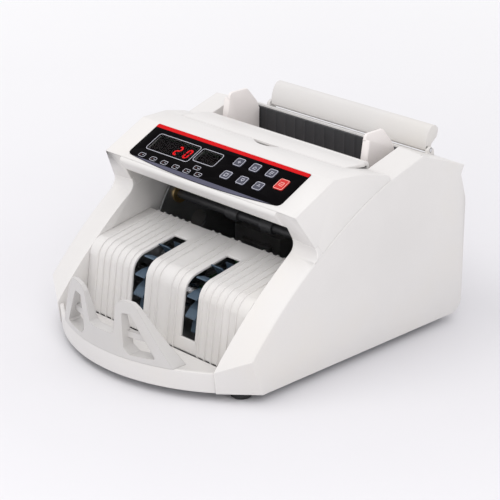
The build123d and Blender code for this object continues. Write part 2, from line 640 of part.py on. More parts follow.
def roller_pair(axis, radius, x_low, x_high, crown=0.5):
    """Two rubber rollers on one shaft, with softened edges."""
    roller = rod(axis, radius, x_low, x_high)
    rims = [edge for edge in roller.edges().filter_by(GeomType.CIRCLE)]
    roller = roller.chamfer(crown, None, rims)
    for x in (x_low + (x_high - x_low) * share / 4 for share in (1, 2, 3)):
        ring = rod(axis, radius + 1, x - 0.4, x + 0.4) - rod(axis, radius - 0.6, x - 0.4, x + 0.4)
        roller = roller - ring
    roller = roller - rod(axis, SHAFT_RADIUS, x_low - 1, x_high + 1)
    return both_sides(roller)


def shaft(axis, x_low, x_high):
    bar = rod(axis, SHAFT_RADIUS, x_low, x_high)
    return bar.chamfer(0.6, None, bar.edges().filter_by(GeomType.CIRCLE))


def idler_shaft():
    """Moulded pressure shaft with its own rollers."""
    bar = shaft(IDLER_AXIS, -FRAME_INNER - 3.2, FRAME_INNER + 3.2)
    for x_low in (-28.0, 14.0):
        bar = bar + rod(IDLER_AXIS, IDLER_ROLLER_RADIUS, x_low, x_low + 14.0)
    return bar


def pulley(axis, radius, x, bore):
    """Flanged belt pulley centred on x."""
    half = BELT_WIDTH / 2 + 0.3
    wheel = rod(axis, radius, x - half - 1.0, x + half + 1.0)
    for low in (x - half - 1.0, x + half):
        wheel = wheel + rod(axis, radius + 1.6, low, low + 1.0)
    return wheel - rod(axis, bore, x - half - 2, x + half + 2)


def belt(axis_a, radius_a, axis_b, radius_b, x):
    """Flat belt around two pulleys."""
    half = BELT_WIDTH / 2
    loops = []
    for out in (BELT_THICK + RUNNING_GAP, RUNNING_GAP):
        big, small = radius_a + out, radius_b + out
        dy, dz = axis_b[0] - axis_a[0], axis_b[1] - axis_a[1]
        span = math.hypot(dy, dz)
        heading = math.atan2(dz, dy)
        spread = math.acos((big - small) / span)
        corners = []
        for axis, radius, turn in ((axis_a, big, spread), (axis_b, small, spread),
                                   (axis_b, small, -spread), (axis_a, big, -spread)):
            angle = heading + turn
            corners.append((axis[0] + radius * math.cos(angle), axis[1] + radius * math.sin(angle)))
        body = prism(corners, x - half, x + half)
        body = body + rod(axis_a, big, x - half, x + half) + rod(axis_b, small, x - half, x + half)
        loops.append(body)
    return loops[0] - loops[1]


def motor(axis, radius, x_face, length, side):
    """Can motor against a frame: can, end boss, terminal block. side is +1 on the right."""
    x_tail = x_face - side * length
    low, high = min(x_face, x_tail), max(x_face, x_tail)
    can = rod(axis, radius, low, high)
    can = can.fillet(1.5, can.edges().filter_by(GeomType.CIRCLE))
    boss_low = x_tail if side < 0 else x_tail - 3.0
    can = can + rod(axis, radius * 0.4, boss_low, boss_low + 3.0)
    pilot_low = x_face if side > 0 else x_face - FRAME_SHEET
    can = can + rod(axis, 8.0, pilot_low, pilot_low + FRAME_SHEET)
    tail = box(min(x_tail, x_tail + side * 12) + 1, max(x_tail, x_tail + side * 12) - 1,
               axis[0] - 6, axis[0] + 6, axis[1] + radius - 2, axis[1] + radius + 4)
    can = can + tail
    bore_low = x_face - 14 if side > 0 else x_face - 4
    return can - rod(axis, MOTOR_SHAFT_RADIUS + RUNNING_GAP, bore_low, bore_low + 18)


def motor_rotor(axis, x_face, x_belt, side):
    """Motor shaft with its small pulley."""
    start = x_face - side * 12
    stop = x_belt + side * (BELT_WIDTH / 2 + 2.5)
    spindle = rod(axis, MOTOR_SHAFT_RADIUS, min(start, stop), max(start, stop))
    return spindle + pulley(axis, SMALL_PULLEY, x_belt, MOTOR_SHAFT_RADIUS)


# ================================================================ separator
def separator_holder():
    """Bracket that holds the friction pad over the feed rollers."""
    block = box(-30, 36, 33.0, 48.0, 119.0, 124.0)
    block = block + box(-30, 36, 45.5, 48.0, 119.0, 131.0)
    block = block + post(SCREW_X, SCREW_Y, 5.0, 119.0, 131.0)
    return block - post(SCREW_X, SCREW_Y, 2.0 + RUNNING_GAP, 118.0, 132.0)


def separator_pad():
    """Rubber friction strip under the bracket."""
    pad = box(-29, 31, 35.0, 45.0, 116.0, 119.0)
    for x in range(-25, 30, 6):
        pad = pad - box(x - 0.5, x + 0.5, 34, 46, 115.0, 116.6)
    return pad


def adjusting_screw():
    """Knurled thumb screw that raises and lowers the bracket."""
    knob = post(SCREW_X, SCREW_Y, 9.0, 147.0, 153.0)
    teeth = 30
    for number in range(teeth):
        angle = 2 * math.pi * number / teeth
        knob = knob - post(SCREW_X + 9.3 * math.cos(angle), SCREW_Y + 9.3 * math.sin(angle), 0.7, 146, 154)
    slot = box(SCREW_X - 5, SCREW_X + 5, SCREW_Y - 0.6, SCREW_Y + 0.6, 152.0, 154.0)
    return knob + post(SCREW_X, SCREW_Y, 2.0, SCREW_ROD_LOW, 147.0) - slot


def screw_bridge():
    """Cross strap that carries the thumb screw between the frames' upper arms."""
    strap = box(-CHEEK_INNER + SEAM + 2, CHEEK_INNER - SEAM - 2, 35.0, 45.0, 140.0, 141.5)
    return strap - post(SCREW_X, SCREW_Y, 2.0 + RUNNING_GAP, 139, 143)


# ================================================================ guides
def guide():
    """Right-hand hopper guide: upright plate, front flange, foot on the rail."""
    x_low = GUIDE_INNER
    x_high = GUIDE_INNER + GUIDE_THICK
    rise = (FLOOR_REAR[1] - FLOOR_FRONT[1]) / (FLOOR_REAR[0] - FLOOR_FRONT[0])
    low_y, high_y = 65.0, 105.0
    low_z = [FLOOR_FRONT[1] + rise * (y - FLOOR_FRONT[0]) + 0.6 for y in (low_y, high_y)]
    outline = [(low_y, low_z[0]), (low_y + 0.6, 157.0), (69.0, GUIDE_TOP_Z), (90.0, GUIDE_TOP_Z),
               (101.5, 163.5), (105.0, 156.0), (high_y, low_z[1])]
    plate = prism(outline, x_low, x_high)
    top = [edge for edge in plate.edges().filter_by(Axis.X) if edge.center().Z > 160]
    plate = plate.fillet(4.0, top)
    flange = prism([(low_y, low_z[0]), (low_y + 0.6, 157.0), (68.0, 172.0), (70.4, 172.0), (68.0, 157.0),
                    (low_y + 2.4, low_z[0] + 0.9)], x_low, x_high + 4.0)
    neck = box(x_low, x_high, RAIL[0] - 4, RAIL[0] + 4, RAIL[1], low_z[0] + 12)
    foot = box(x_low - 8, x_high, RAIL[0] - 6, RAIL[0] + 6, RAIL[1] - 6, RAIL[1] + 6)
    body = plate + flange + neck + foot
    return body - rod(RAIL, RAIL_RADIUS + RUNNING_GAP, x_low - 10, x_high + 2)


# ================================================================ carry bar
def carry_bar():
    """D-section bar behind the hopper, pinned at its lower edge."""
    start = -BAR_HALF
    front_low, front_high, back_high = [(start, *place) for place in BAR_ARC_ENDS]
    edges = [Edge.make_three_point_arc(front_low, (start, 133.9, 160.4), front_high),
             Edge.make_three_point_arc(front_high, (start, 143.6, 170.6), back_high)]
    under = [back_high] + [(start, *place) for place in BAR_UNDERSIDE] + [front_low]
    for first, second in zip(under, under[1:]):
        edges.append(Edge.make_line(first, second))
    bar = Solid.extrude(Face(Wire(edges)), Vector(2 * BAR_HALF, 0, 0))
    low_edges = [edge for edge in bar.edges().filter_by(Axis.X) if edge.center().Z < 167]
    bar = bar.fillet(1.3, low_edges)
    for side in (-1, 1):
        x = side * BAR_HALF
        bar = bar - rod(BAR_AXIS, PIN_RADIUS + RUNNING_GAP, min(x, x - side * 8), max(x, x - side * 8))
    return bar


def bar_pins():
    """Steel pins through the lugs into the bar's ends."""
    return both_sides(rod(BAR_AXIS, PIN_RADIUS, BAR_HALF - 7.0, BAR_HALF + 3.8))


# ================================================================ control electronics
def control_overlay():
    """Printed overlay with openings for keys and windows."""
    sheet = overlay_slab(OVERLAY_HALF, 0.0, -0.6, -0.6 + OVERLAY_THICK)
    for x_low, x_high, low, high in (COUNT_WINDOW, BATCH_WINDOW):
        sheet = sheet - face_slab(x_low, x_high, low, high, -2, 2, 0.8)
    for x, up, width, height in key_places().values():
        half_w = width / 2 + KEY_GAP
        half_h = height / 2 + KEY_GAP
        sheet = sheet - face_slab(x - half_w, x + half_w, up - half_h, up + half_h, -2, 2, 2.2)
    return sheet


def display_windows():
    """Smoked window panes set in the overlay."""
    return [face_slab(x_low + 0.1, x_high - 0.1, low + 0.1, high - 0.1, -1.0, 0.1, 0.8)
            for x_low, x_high, low, high in (COUNT_WINDOW, BATCH_WINDOW)]


def digit_modules():
    """Digit blocks behind the panes: four wide and three narrow digits."""
    blocks = []
    for window, digits in ((COUNT_WINDOW, 4), (BATCH_WINDOW, 3)):
        x_low, x_high, low, high = window
        width = (x_high - x_low - 2) / digits
        for number in range(digits):
            start = x_low + 1 + number * width
            blocks.append(face_slab(start + 0.1, start + width - 0.1, low + 1, high - 1, -8.0, -2.2))
    return blocks


def display_board():
    """Circuit board under the control face with a tactile switch under every key."""
    board = face_slab(-88, 88, 9.5, 41, -9.6, -8.0)
    for x, up, width, height in key_places().values():
        board = board + face_slab(x - 3, x + 3, up - 3, up + 3, -8.0, -4.6)
        plunger = extrude(face_plane(-4.6) * (Pos(x, up, 0) * Circle(1.7)), amount=0.8)
        board = board + plunger
    for x in (-60, -47, -33, -19, -6):
        board = board + face_slab(x - 1.2, x + 1.2, 10.6, 13.0, -8.0, -4.0)
    return board


def key(name):
    """A key cap with a softened rim."""
    x, up, width, height = key_places()[name]
    cap = face_slab(x - width / 2, x + width / 2, up - height / 2, up + height / 2, -3.2, KEY_PROUD, 2.0)
    rim = cap.faces().sort_by(Axis((0, 0, 0), tuple(face_plane().z_dir)))[-1].edges()
    return fillet(rim, 0.35)


# ================================================================ power and boards
def switch_frame():
    """Bezel and housing of the mains switch, part of the inlet module."""
    (x_low, x_high), (z_low, z_high) = SWITCH_BODY
    frame = box(x_low, x_high, REAR_FACE - 18, REAR_FACE, z_low, z_high)
    bezel_y = REAR_FACE + REAR_PROUD
    frame = frame + box(x_low - 3.0, x_high + 1.4, REAR_FACE, bezel_y, z_low - 1.0, z_high + 1.0)
    return frame - box(x_low + 1.2, x_high - 1.2, REAR_FACE - 12, REAR_FACE + 3, z_low + 1.2, z_high - 1.2)


def power_inlet():
    """Mains inlet with flange and three blades, moulded in one with the switch housing."""
    (x_low, x_high), (z_low, z_high) = INLET_BODY
    body = box(x_low, x_high, REAR_FACE - 24, REAR_FACE, z_low, z_high)
    flange = box(x_low - 10, x_high + 10, REAR_FACE, REAR_FACE + REAR_PROUD, z_low - 1, z_high + 1)
    flange = flange.fillet(1.0, flange.edges().filter_by(Axis.Y))
    inlet = body + flange - box(x_low + 2, x_high - 2, REAR_FACE - 16, REAR_FACE + 5, z_low + 2, z_high - 2)
    middle_x, middle_z = (x_low + x_high) / 2, (z_low + z_high) / 2
    for dx, dz in ((-7, -1), (0, 3), (7, -1)):
        inlet = inlet + box(middle_x + dx - 1, middle_x + dx + 1, REAR_FACE - 17, REAR_FACE - 2,
                            middle_z + dz - 2, middle_z + dz + 2)
    for side in (-1, 1):
        inlet = inlet - back_rod(middle_x + side * 20, middle_z, 1.7, REAR_FACE - 1, REAR_FACE + 4)
    return inlet + switch_frame()


def rocker_switch():
    """Rocker, tipped to its off side."""
    (x_low, x_high), (z_low, z_high) = SWITCH_BODY
    z = (z_low + z_high) / 2
    y = REAR_FACE - 4.0
    profile = [(y - 3, z - 3), (y + 3.2, z - 7.6), (y + 4.4, z - 7.4), (y + 4.2, z), (y + 5.6, z + 7.2),
               (y + 4.6, z + 7.7), (y - 3, z + 3)]
    rocker = prism(profile, x_low + 1.5, x_high - 1.5)
    return rocker + rod((y, z), 1.5, x_low + 1.2, x_high - 1.2)


def main_board():
    """Control board on pillars with its larger parts."""
    deck_z = 20.0
    board = box(-48, 48, -6, 52, deck_z, deck_z + 1.6)
    for x, y in ((-44, -2), (44, -2), (-44, 48), (44, 48)):
        board = board + post(x, y, 3.0, CASE_BOTTOM + 1.5, deck_z)
    for x, y, radius, height in ((-34, 38, 6, 18), (-18, 38, 6, 18), (-2, 40, 4, 11)):
        board = board + post(x, y, radius, deck_z + 1.6, deck_z + 1.6 + height)
    for x_low, y_low, width, depth, height in ((-30, 4, 30, 12, 4), (8, 2, 14, 14, 3), (28, 4, 16, 8, 9),
                                               (14, 26, 28, 18, 12), (-44, 8, 7, 20, 8)):
        board = board + box(x_low, x_low + width, y_low, y_low + depth, deck_z + 1.6, deck_z + 1.6 + height)
    return board


def transformer():
    """Mains transformer: laminated core around a wound bobbin, with foot tabs."""
    base = CASE_BOTTOM + 1.5
    core = box(-72, -14, 66, 112, base + 2, base + 48)
    window = box(-62, -24, 60, 118, base + 11, base + 39)
    centre = box(-50, -36, 66, 112, base + 8, base + 42)
    coil = box(-61, -25, 60, 118, base + 12, base + 38)
    coil = coil.fillet(5.0, coil.edges().filter_by(Axis.Z))
    tabs = box(-80, -6, 76, 102, base, base + 2)
    return core - window + centre + coil + tabs


def casing_screws():
    """Pan-head screws that hold the rear panel."""
    screws = []
    for x in (-92.0, 92.0):
        for z in (24.0, 100.0):
            head = back_rod(x, z, 3.2, REAR_FACE, REAR_FACE + 1.6)
            head = head.fillet(0.8, head.edges().filter_by(GeomType.CIRCLE).sort_by(Axis.Y)[-1:])
            cross = box(x - 1.8, x + 1.8, REAR_FACE + 0.7, REAR_FACE + 3, z - 0.35, z + 0.35)
            cross = cross + box(x - 0.35, x + 0.35, REAR_FACE + 0.7, REAR_FACE + 3, z - 1.8, z + 1.8)
            screws.append(head - cross)
    return screws


def main():
    os.makedirs("parts", exist_ok=True)
    right_cover = side_cover()
    save("right_side_cover", right_cover)
    save("left_side_cover", mirrored(right_cover))
    save("head_housing", head_housing())
    save("head_underplate", head_underplate())
    save("hopper_chute", hopper_chute())
    save("hopper_floor", hopper_floor())
    save("hopper_back", hopper_back())
    save("rear_deck", rear_deck())
    save("rear_panel", rear_panel())
    save("base_pan", base_pan())
    save("rubber_feet", rubber_feet())
    save("stacker_tray", stacker_tray())
    save("finger_fence", finger_fence())
    save("stacker_plate", stacker_plate())

    right_frame = side_frame()
    save("right_frame", right_frame)
    save("left_frame", mirrored(right_frame))
    save("shaft_bushes", shaft_bushes())
    save("guide_rail", rod(RAIL, RAIL_RADIUS, -FRAME_INNER - 3, FRAME_INNER + 3))

    drive_end = PICKUP_DRIVE_X + 5.0
    save("feed_shaft", shaft(FEED_AXIS, -FRAME_INNER - 4, drive_end))
    save("feed_rollers", roller_pair(FEED_AXIS, FEED_ROLLER_RADIUS, 12, 30))
    save("feed_pulley", [pulley(FEED_AXIS, BIG_PULLEY, DRIVE_X, SHAFT_RADIUS),
                         pulley(FEED_AXIS, PICKUP_PULLEY, PICKUP_DRIVE_X, SHAFT_RADIUS)])
    save("pickup_shaft", shaft(PICKUP_AXIS, -FRAME_INNER - 4, drive_end))
    save("pickup_rollers", roller_pair(PICKUP_AXIS, PICKUP_ROLLER_RADIUS, 12, 28))
    save("pickup_pulley", pulley(PICKUP_AXIS, PICKUP_PULLEY, PICKUP_DRIVE_X, SHAFT_RADIUS))
    save("idler_shaft", idler_shaft())
    save("impeller_shaft", shaft(IMPELLER_AXIS, -drive_end, FRAME_INNER + 4))
    save("impeller_right", impeller(IMPELLER_X))
    save("impeller_left", impeller(-IMPELLER_X))
    save("impeller_pulley", pulley(IMPELLER_AXIS, BIG_PULLEY, -DRIVE_X, SHAFT_RADIUS))
    save("feed_motor", motor(FEED_MOTOR_AXIS, 21.0, FRAME_INNER, 46.0, 1))
    save("feed_motor_rotor", motor_rotor(FEED_MOTOR_AXIS, FRAME_INNER, DRIVE_X, 1))
    save("stacker_motor", motor(STACKER_MOTOR_AXIS, 15.0, -FRAME_INNER, 34.0, -1))
    save("stacker_motor_rotor", motor_rotor(STACKER_MOTOR_AXIS, -FRAME_INNER, -DRIVE_X, -1))
    save("feed_belt", belt(FEED_AXIS, BIG_PULLEY, FEED_MOTOR_AXIS, SMALL_PULLEY, DRIVE_X))
    save("pickup_belt", belt(FEED_AXIS, PICKUP_PULLEY, PICKUP_AXIS, PICKUP_PULLEY, PICKUP_DRIVE_X))
    save("stacker_belt", belt(IMPELLER_AXIS, BIG_PULLEY, STACKER_MOTOR_AXIS, SMALL_PULLEY, -DRIVE_X))

    save("separator_holder", separator_holder())
    save("separator_pad", separator_pad())
    save("adjusting_screw", adjusting_screw())
    save("screw_bridge", screw_bridge())

    right_guide = guide()
    save("guide_right", right_guide)
    save("guide_left", mirrored(right_guide))
    save("carry_bar", carry_bar())
    save("bar_pins", bar_pins())

    save("control_overlay", control_overlay())
    save("display_windows", display_windows())
    save("digit_modules", digit_modules())
    save("display_board", display_board())
    for name in key_places():
        save(name, key(name))

    save("power_inlet", power_inlet())
    save("rocker_switch", rocker_switch())
    save("main_board", main_board())
    save("transformer", transformer())
    save("casing_screws", casing_screws())


if __name__ == "__main__":
    main()
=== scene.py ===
import json
import math

import bmesh
import bpy
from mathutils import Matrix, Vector

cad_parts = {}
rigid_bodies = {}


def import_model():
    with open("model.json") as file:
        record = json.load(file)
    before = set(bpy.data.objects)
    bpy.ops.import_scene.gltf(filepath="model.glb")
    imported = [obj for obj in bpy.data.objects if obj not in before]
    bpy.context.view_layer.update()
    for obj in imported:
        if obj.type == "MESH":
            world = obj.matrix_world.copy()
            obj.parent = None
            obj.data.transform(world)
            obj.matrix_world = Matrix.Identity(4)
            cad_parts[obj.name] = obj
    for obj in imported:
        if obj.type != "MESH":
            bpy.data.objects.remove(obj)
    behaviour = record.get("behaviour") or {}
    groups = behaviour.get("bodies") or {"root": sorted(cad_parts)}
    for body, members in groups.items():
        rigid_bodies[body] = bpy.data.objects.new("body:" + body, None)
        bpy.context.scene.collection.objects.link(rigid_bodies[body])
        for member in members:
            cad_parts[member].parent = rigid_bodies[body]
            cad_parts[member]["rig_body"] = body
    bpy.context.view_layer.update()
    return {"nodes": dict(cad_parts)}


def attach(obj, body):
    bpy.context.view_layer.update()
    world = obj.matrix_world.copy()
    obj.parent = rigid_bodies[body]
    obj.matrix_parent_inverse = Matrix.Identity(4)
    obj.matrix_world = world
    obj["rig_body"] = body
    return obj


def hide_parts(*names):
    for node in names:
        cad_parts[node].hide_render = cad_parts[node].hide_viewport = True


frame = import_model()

# Looks for the desktop banknote counter. Metres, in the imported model's own frame:
# +X right, +Y back, +Z up, origin on the table under the middle of the machine.

MM = 0.001
NODES = frame["nodes"]

# ---------------------------------------------------------------- control face
INK_BELOW = 0.03 * MM           # printed ink starts inside the sheet it lies on
INK_ABOVE = 0.03 * MM
RED_STRIPE = 4.0 * MM           # width of the stripe along the rear edge
SLATE_EDGE = 4.6 * MM           # the slate band ends this far up the sheet
PAST_EDGE = 1.0 * MM            # a cut this far outside the sheet takes nothing off it
FACES_OUT = 0.999               # least cosine between the sheet's top faces and straight out
TOP_DEPTH = 0.1 * MM            # the sheet's top faces are no deeper than this
CUT_WELD = 0.0001 * MM          # corners nearer than this to a cut lie on it
LINE = 0.55 * MM                # width of a printed outline
WINDOW_MARGIN = 0.9 * MM        # from a window to its printed outline
WINDOW_CORNER = 3.0 * MM
KEY_MARGIN = 0.35 * MM          # from a key's edge to its printed outline
KEY_CORNER = 1.7 * MM
KEY_LINE = 0.5 * MM
KEY_ROUND = 0.45 * MM           # rounding of a key cap's edges
SHEET_ROUND = 0.15 * MM         # rounding of the overlay's and the windows' edges
SYMBOL_LINE = 0.55 * MM
LEAST_CORNER = 0.1 * MM         # the inside of a printed corner is never sharper than this

# Lamp fields under the windows: (across, up) of each middle, in millimetres.
LAMP_MARKS = [
    (-76.0, 8.4), (-61.5, 8.0), (-47.5, 8.0), (-33.0, 7.8), (-19.0, 7.6), (-5.5, 8.0), (-12.6, 14.2),
]
MARK_SIZE = (7.4 * MM, 4.6 * MM)
MARK_CORNER = 1.4 * MM
MARK_LINE = 0.42 * MM
LENS_SIZE = 1.7 * MM
LENS_CORNER = 0.8 * MM
LENS_PLACE = -1.6 * MM          # from a mark's middle to its lens
RULE_REACH = (0.2 * MM, 2.4 * MM)      # from a mark's middle to its rule's ends
RULE_WIDTH = 0.5 * MM

# ---------------------------------------------------------------- digits
DISPLAY_TEXT = "  20   "        # four digits of the count, then three of the batch
DIGIT_SIZE = (5.9 * MM, 11.2 * MM)
DIGIT_STROKE = 1.7 * MM
DIGIT_SLANT = 0.10              # sideways lean of a digit per unit height
DIGIT_SHIFT = -1.4 * MM         # from a module's middle to its digit's
SEGMENT_GAP = 0.12 * MM
SEGMENT_LIFT = 0.12 * MM
SEGMENTS_OF = {"2": "abged", "0": "abcdef"}

# ---------------------------------------------------------------- keys
# Plain symbols, each a few straight strokes in millimetres from the key's middle.
SYMBOLS = {
    "plus": [((-1.6, 0), (1.6, 0)), ((0, -1.6), (0, 1.6))],
    "minus": [((-1.7, 0), (1.7, 0)), ((-0.9, 1.5), (0.9, 1.5))],
    "up": [((-1.8, -1.0), (0.12, 1.1)), ((-0.12, 1.1), (1.8, -1.0)), ((-1.8, -1.9), (1.8, -1.9))],
    "down": [((-1.8, 1.0), (0.12, -1.1)), ((-0.12, -1.1), (1.8, 1.0)), ((-1.8, 1.9), (1.8, 1.9))],
    "list": [((-1.8, 1.5), (1.8, 1.5)), ((-1.8, 0), (1.8, 0)), ((-1.8, -1.5), (0.6, -1.5))],
    "frame": [
        ((-1.9, 1.6), (1.9, 1.6)), ((-1.9, -1.6), (1.9, -1.6)),
        ((-1.6, -1.9), (-1.6, 1.9)), ((1.6, -1.9), (1.6, 1.9)),
    ],
    "loop": [
        ((-2.3, 1.9), (2.3, 1.9)), ((2.0, 1.9), (2.0, -0.9)), ((2.3, -1.9), (-1.0, -1.9)),
        ((-2.0, 0.9), (-2.0, -1.9)), ((-1.2, 0.0), (1.2, 0.0)),
    ],
}
KEY_SYMBOLS = {
    "key_upper_1": "plus", "key_upper_2": "up", "key_upper_3": "list",
    "key_lower_1": "frame", "key_lower_2": "down", "key_lower_3": "minus", "key_reset": "loop",
}

# ---------------------------------------------------------------- casing
# Mouldings and fittings whose edges are rounded, and by how many millimetres.
ROUNDED = {
    "right_side_cover": 0.3, "left_side_cover": 0.3, "head_housing": 0.3, "hopper_chute": 0.4,
    "rear_deck": 0.5, "rear_panel": 0.5, "stacker_tray": 0.6, "stacker_plate": 0.35,
    "guide_left": 0.6, "guide_right": 0.6, "carry_bar": 0.8, "hopper_back": 0.4,
    "head_underplate": 0.4, "rubber_feet": 0.5, "power_inlet": 0.4, "rocker_switch": 0.4,
    "base_pan": 0.3,
}
SHARP_ANGLE = 30.0              # a rounded edge turns by at least this many degrees
SMOOTH_ANGLE = 32.0             # shading is smooth across edges that turn by less
WELD = 0.001 * MM               # corners nearer than this are one corner
FLAT_ANGLE = 0.05               # faces that turn by less, in degrees, are one face

# ---------------------------------------------------------------- surface detail
# How fine each pattern is, in noise cells per metre except where it says otherwise.
AGEING = 9.0                    # where a moulding has yellowed
PLASTIC_SHEEN = 26.0            # more and less gloss on a moulding
FLOW_MARKS = 60.0
SPECKS = 420.0                  # darker grains in the plastic
SPARK_TEXTURE = 2600.0          # the mould's spark-eroded texture
RUBBER_BLOOM = 45.0
RUBBER_SHEEN = 90.0
RUBBER_SKIN = 1500.0
TARNISH = 30.0
BRUSH_LINES = 900.0
INK_DENSITY = 55.0
FILM_SMEARS = 38.0
FILM_GRAIN = 3200.0
LENS_PATTERN = 700.0
GLOW_PATTERN = 350.0
BOARD_TRACKS = 190.0            # scale of the brick texture that draws the tracks
BOARD_CLOUD = 70.0
BOARD_SHEEN = 120.0
FLOOR_CLOUD = 1.6
FLOOR_SHEEN = 5.0
FLOOR_GRAIN = 300.0

# The colour sockets of a Mix node, which shares their names with its other sockets.
MIX_FACTOR, MIX_FIRST, MIX_SECOND, MIX_RESULT = 0, 6, 7, 2

NEUTRAL = (1.0, 1.0, 1.0)
DARK = (0.0, 0.0, 0.0)
AGED_TINT = (1.0, 0.985, 0.955)
WORN_FROM = 0.52                # pointedness of the mesh where wear starts
WORN_TO = 0.62                  # and where it is at its most
WORN_MOST = 0.6
CORNER_RADIUS = 0.7 * MM        # how softly a moulding's corners are shaded
# Painted highlight: a lighter colour along the lines where a moulding's faces meet.
RIDGE_HIGHLIGHT_REACH = 1.2 * MM          # a painted ridge highlight reaches this far from the edge itself
RIDGE_HIGHLIGHT_TURN = (0.96, 0.995)      # cosines of the turn where the painted ridge highlight is full, and where it ends
RIDGE_HIGHLIGHT_MOST = 0.8

# ---------------------------------------------------------------- studio
CAMERA_PLACE = Vector((1.0535, -1.0055, 0.6532))
CAMERA_AZIMUTH = math.radians(45.9)
CAMERA_ELEVATION = math.radians(21.85)
CAMERA_LENS = 132.07
CAMERA_SENSOR = 36.0
CAMERA_SEES = 50.0              # metres to the farthest thing drawn
LIGHT_TARGET = Vector((0.0, 0.0, 0.1))
# Square lamps: the side is in metres and the power in watts.
KEY_LIGHT = {"place": (-0.5, -0.65, 1.65), "size": 1.0, "power": 6.9, "colour": (1.0, 0.99, 0.975)}
FILL_LIGHT = {"place": (1.3, -0.9, 1.2), "size": 0.9, "power": 6.5, "colour": (1.0, 0.99, 0.98)}
SKY_COLOUR = (0.985, 0.980, 1.0)
SKY_STRENGTH = 0.92
FLOOR_REACH = 9.0               # metres from the middle to the floor's edge
FLOOR_SQUARES = 8
FLOOR_NEAR = [(0.3, (0.765, 0.757, 0.778)), (0.7, (0.790, 0.783, 0.803))]      # stops of its cloudy tone
FLOOR_FAR = (1.0, 1.0, 1.0)
FLOOR_FADE = (0.25, 1.5)        # metres from the middle where the floor starts and ends getting paler


# ================================================================ shader helpers
def new_material(name):
    """A fresh material: its tree, its shader and a texture coordinate in metres."""
    material = bpy.data.materials.new(name)
    material.use_nodes = True
    tree = material.node_tree
    shader = tree.nodes["Principled BSDF"]
    place = tree.nodes.new("ShaderNodeTexCoord").outputs["Object"]
    return material, tree, shader, place


def noise(tree, place, scale, detail=3.0, roughness=0.55, stretch=NEUTRAL, distortion=0.0):
    """A cloudy value with scale cells per metre. A stretch below 1 draws it out along that axis."""
    node = tree.nodes.new("ShaderNodeTexNoise")
    node.inputs["Scale"].default_value = scale
    node.inputs["Detail"].default_value = detail
    node.inputs["Roughness"].default_value = roughness
    node.inputs["Distortion"].default_value = distortion
    mapping = tree.nodes.new("ShaderNodeMapping")
    mapping.inputs["Scale"].default_value = stretch
    tree.links.new(place, mapping.inputs["Vector"])
    tree.links.new(mapping.outputs["Vector"], node.inputs["Vector"])
    return node.outputs["Fac"]


def ramp(tree, source, stops):
    """Colours along a value. Each stop is (position, colour)."""
    node = tree.nodes.new("ShaderNodeValToRGB")
    elements = node.color_ramp.elements
    while len(elements) < len(stops):
        elements.new(0.5)
    for element, (position, colour) in zip(elements, stops):
        element.position = position
        element.color = (*colour, 1.0)
    tree.links.new(source, node.inputs["Fac"])
    return node.outputs["Color"]


def spread(tree, source, low, high, source_low=0.3, source_high=0.7):
    """A value mapped onto low..high, by default from the middle of a noise's range."""
    node = tree.nodes.new("ShaderNodeMapRange")
    node.inputs["From Min"].default_value = source_low
    node.inputs["From Max"].default_value = source_high
    node.inputs["To Min"].default_value = low
    node.inputs["To Max"].default_value = high
    tree.links.new(source, node.inputs["Value"])
    return node.outputs["Result"]


def mixed(tree, factor, first, second):
    """A blend of two colours. factor, first and second are values or sockets."""
    node = tree.nodes.new("ShaderNodeMix")
    node.data_type = "RGBA"
    for index, value in ((MIX_FACTOR, factor), (MIX_FIRST, first), (MIX_SECOND, second)):
        socket = node.inputs[index]
        if isinstance(value, bpy.types.NodeSocket):
            tree.links.new(value, socket)
        elif isinstance(value, tuple):
            socket.default_value = (*value, 1.0)
        else:
            socket.default_value = value
    return node.outputs[MIX_RESULT]


def bumped(tree, shader, height, depth, strength=1.0, under=None):
    """Relief on the shader's normal, over the normal under it where there is one."""
    node = tree.nodes.new("ShaderNodeBump")
    node.inputs["Strength"].default_value = strength
    node.inputs["Distance"].default_value = depth
    tree.links.new(height, node.inputs["Height"])
    if under is not None:
        tree.links.new(under, node.inputs["Normal"])
    tree.links.new(node.outputs["Normal"], shader.inputs["Normal"])
    return node.outputs["Normal"]


def coloured(tree, shader, tone):
    """The surface's colour."""
    tree.links.new(tone, shader.inputs["Base Color"])


def glossed(tree, shader, pattern, low, high):
    """Roughness that wanders from low to high with a pattern."""
    tree.links.new(spread(tree, pattern, low, high), shader.inputs["Roughness"])


def corner_normal(tree, radius, samples):
    """The surface normal, turned softly near corners."""
    node = tree.nodes.new("ShaderNodeBevel")
    node.samples = samples
    node.inputs["Radius"].default_value = radius
    return node.outputs["Normal"]


def worn(tree, colour, edge_colour):
    """The colour, and another where the mesh has an outward edge."""
    pointed = tree.nodes.new("ShaderNodeNewGeometry").outputs["Pointiness"]
    edge = spread(tree, pointed, 0.0, WORN_MOST, WORN_FROM, WORN_TO)
    return mixed(tree, edge, colour, edge_colour)


def with_painted_ridge_highlight(tree, colour, highlight_colour):
    """The colour, and a lighter painted highlight along every line where the surface turns within a short
    reach.
    """
    flat_normal = tree.nodes.new("ShaderNodeNewGeometry").outputs["Normal"]
    soft_normal = corner_normal(tree, RIDGE_HIGHLIGHT_REACH, samples=8)
    turn = tree.nodes.new("ShaderNodeVectorMath")
    turn.operation = "DOT_PRODUCT"
    tree.links.new(soft_normal, turn.inputs[0])
    tree.links.new(flat_normal, turn.inputs[1])
    # Mask of the painted highlight: full where the softened normal turns away from the true one.
    line = spread(tree, turn.outputs["Value"], RIDGE_HIGHLIGHT_MOST, 0.0, *RIDGE_HIGHLIGHT_TURN)
    return mixed(tree, line, colour, highlight_colour)


def shaded(colour, factor):
    """A colour made darker or lighter by a factor."""
    return tuple(channel * factor for channel in colour)


def lifted(colour, factor, more=0.0):
    """A lighter colour that stays within what a surface can reflect."""
    return tuple(min(1.0, channel * factor + more) for channel in colour)


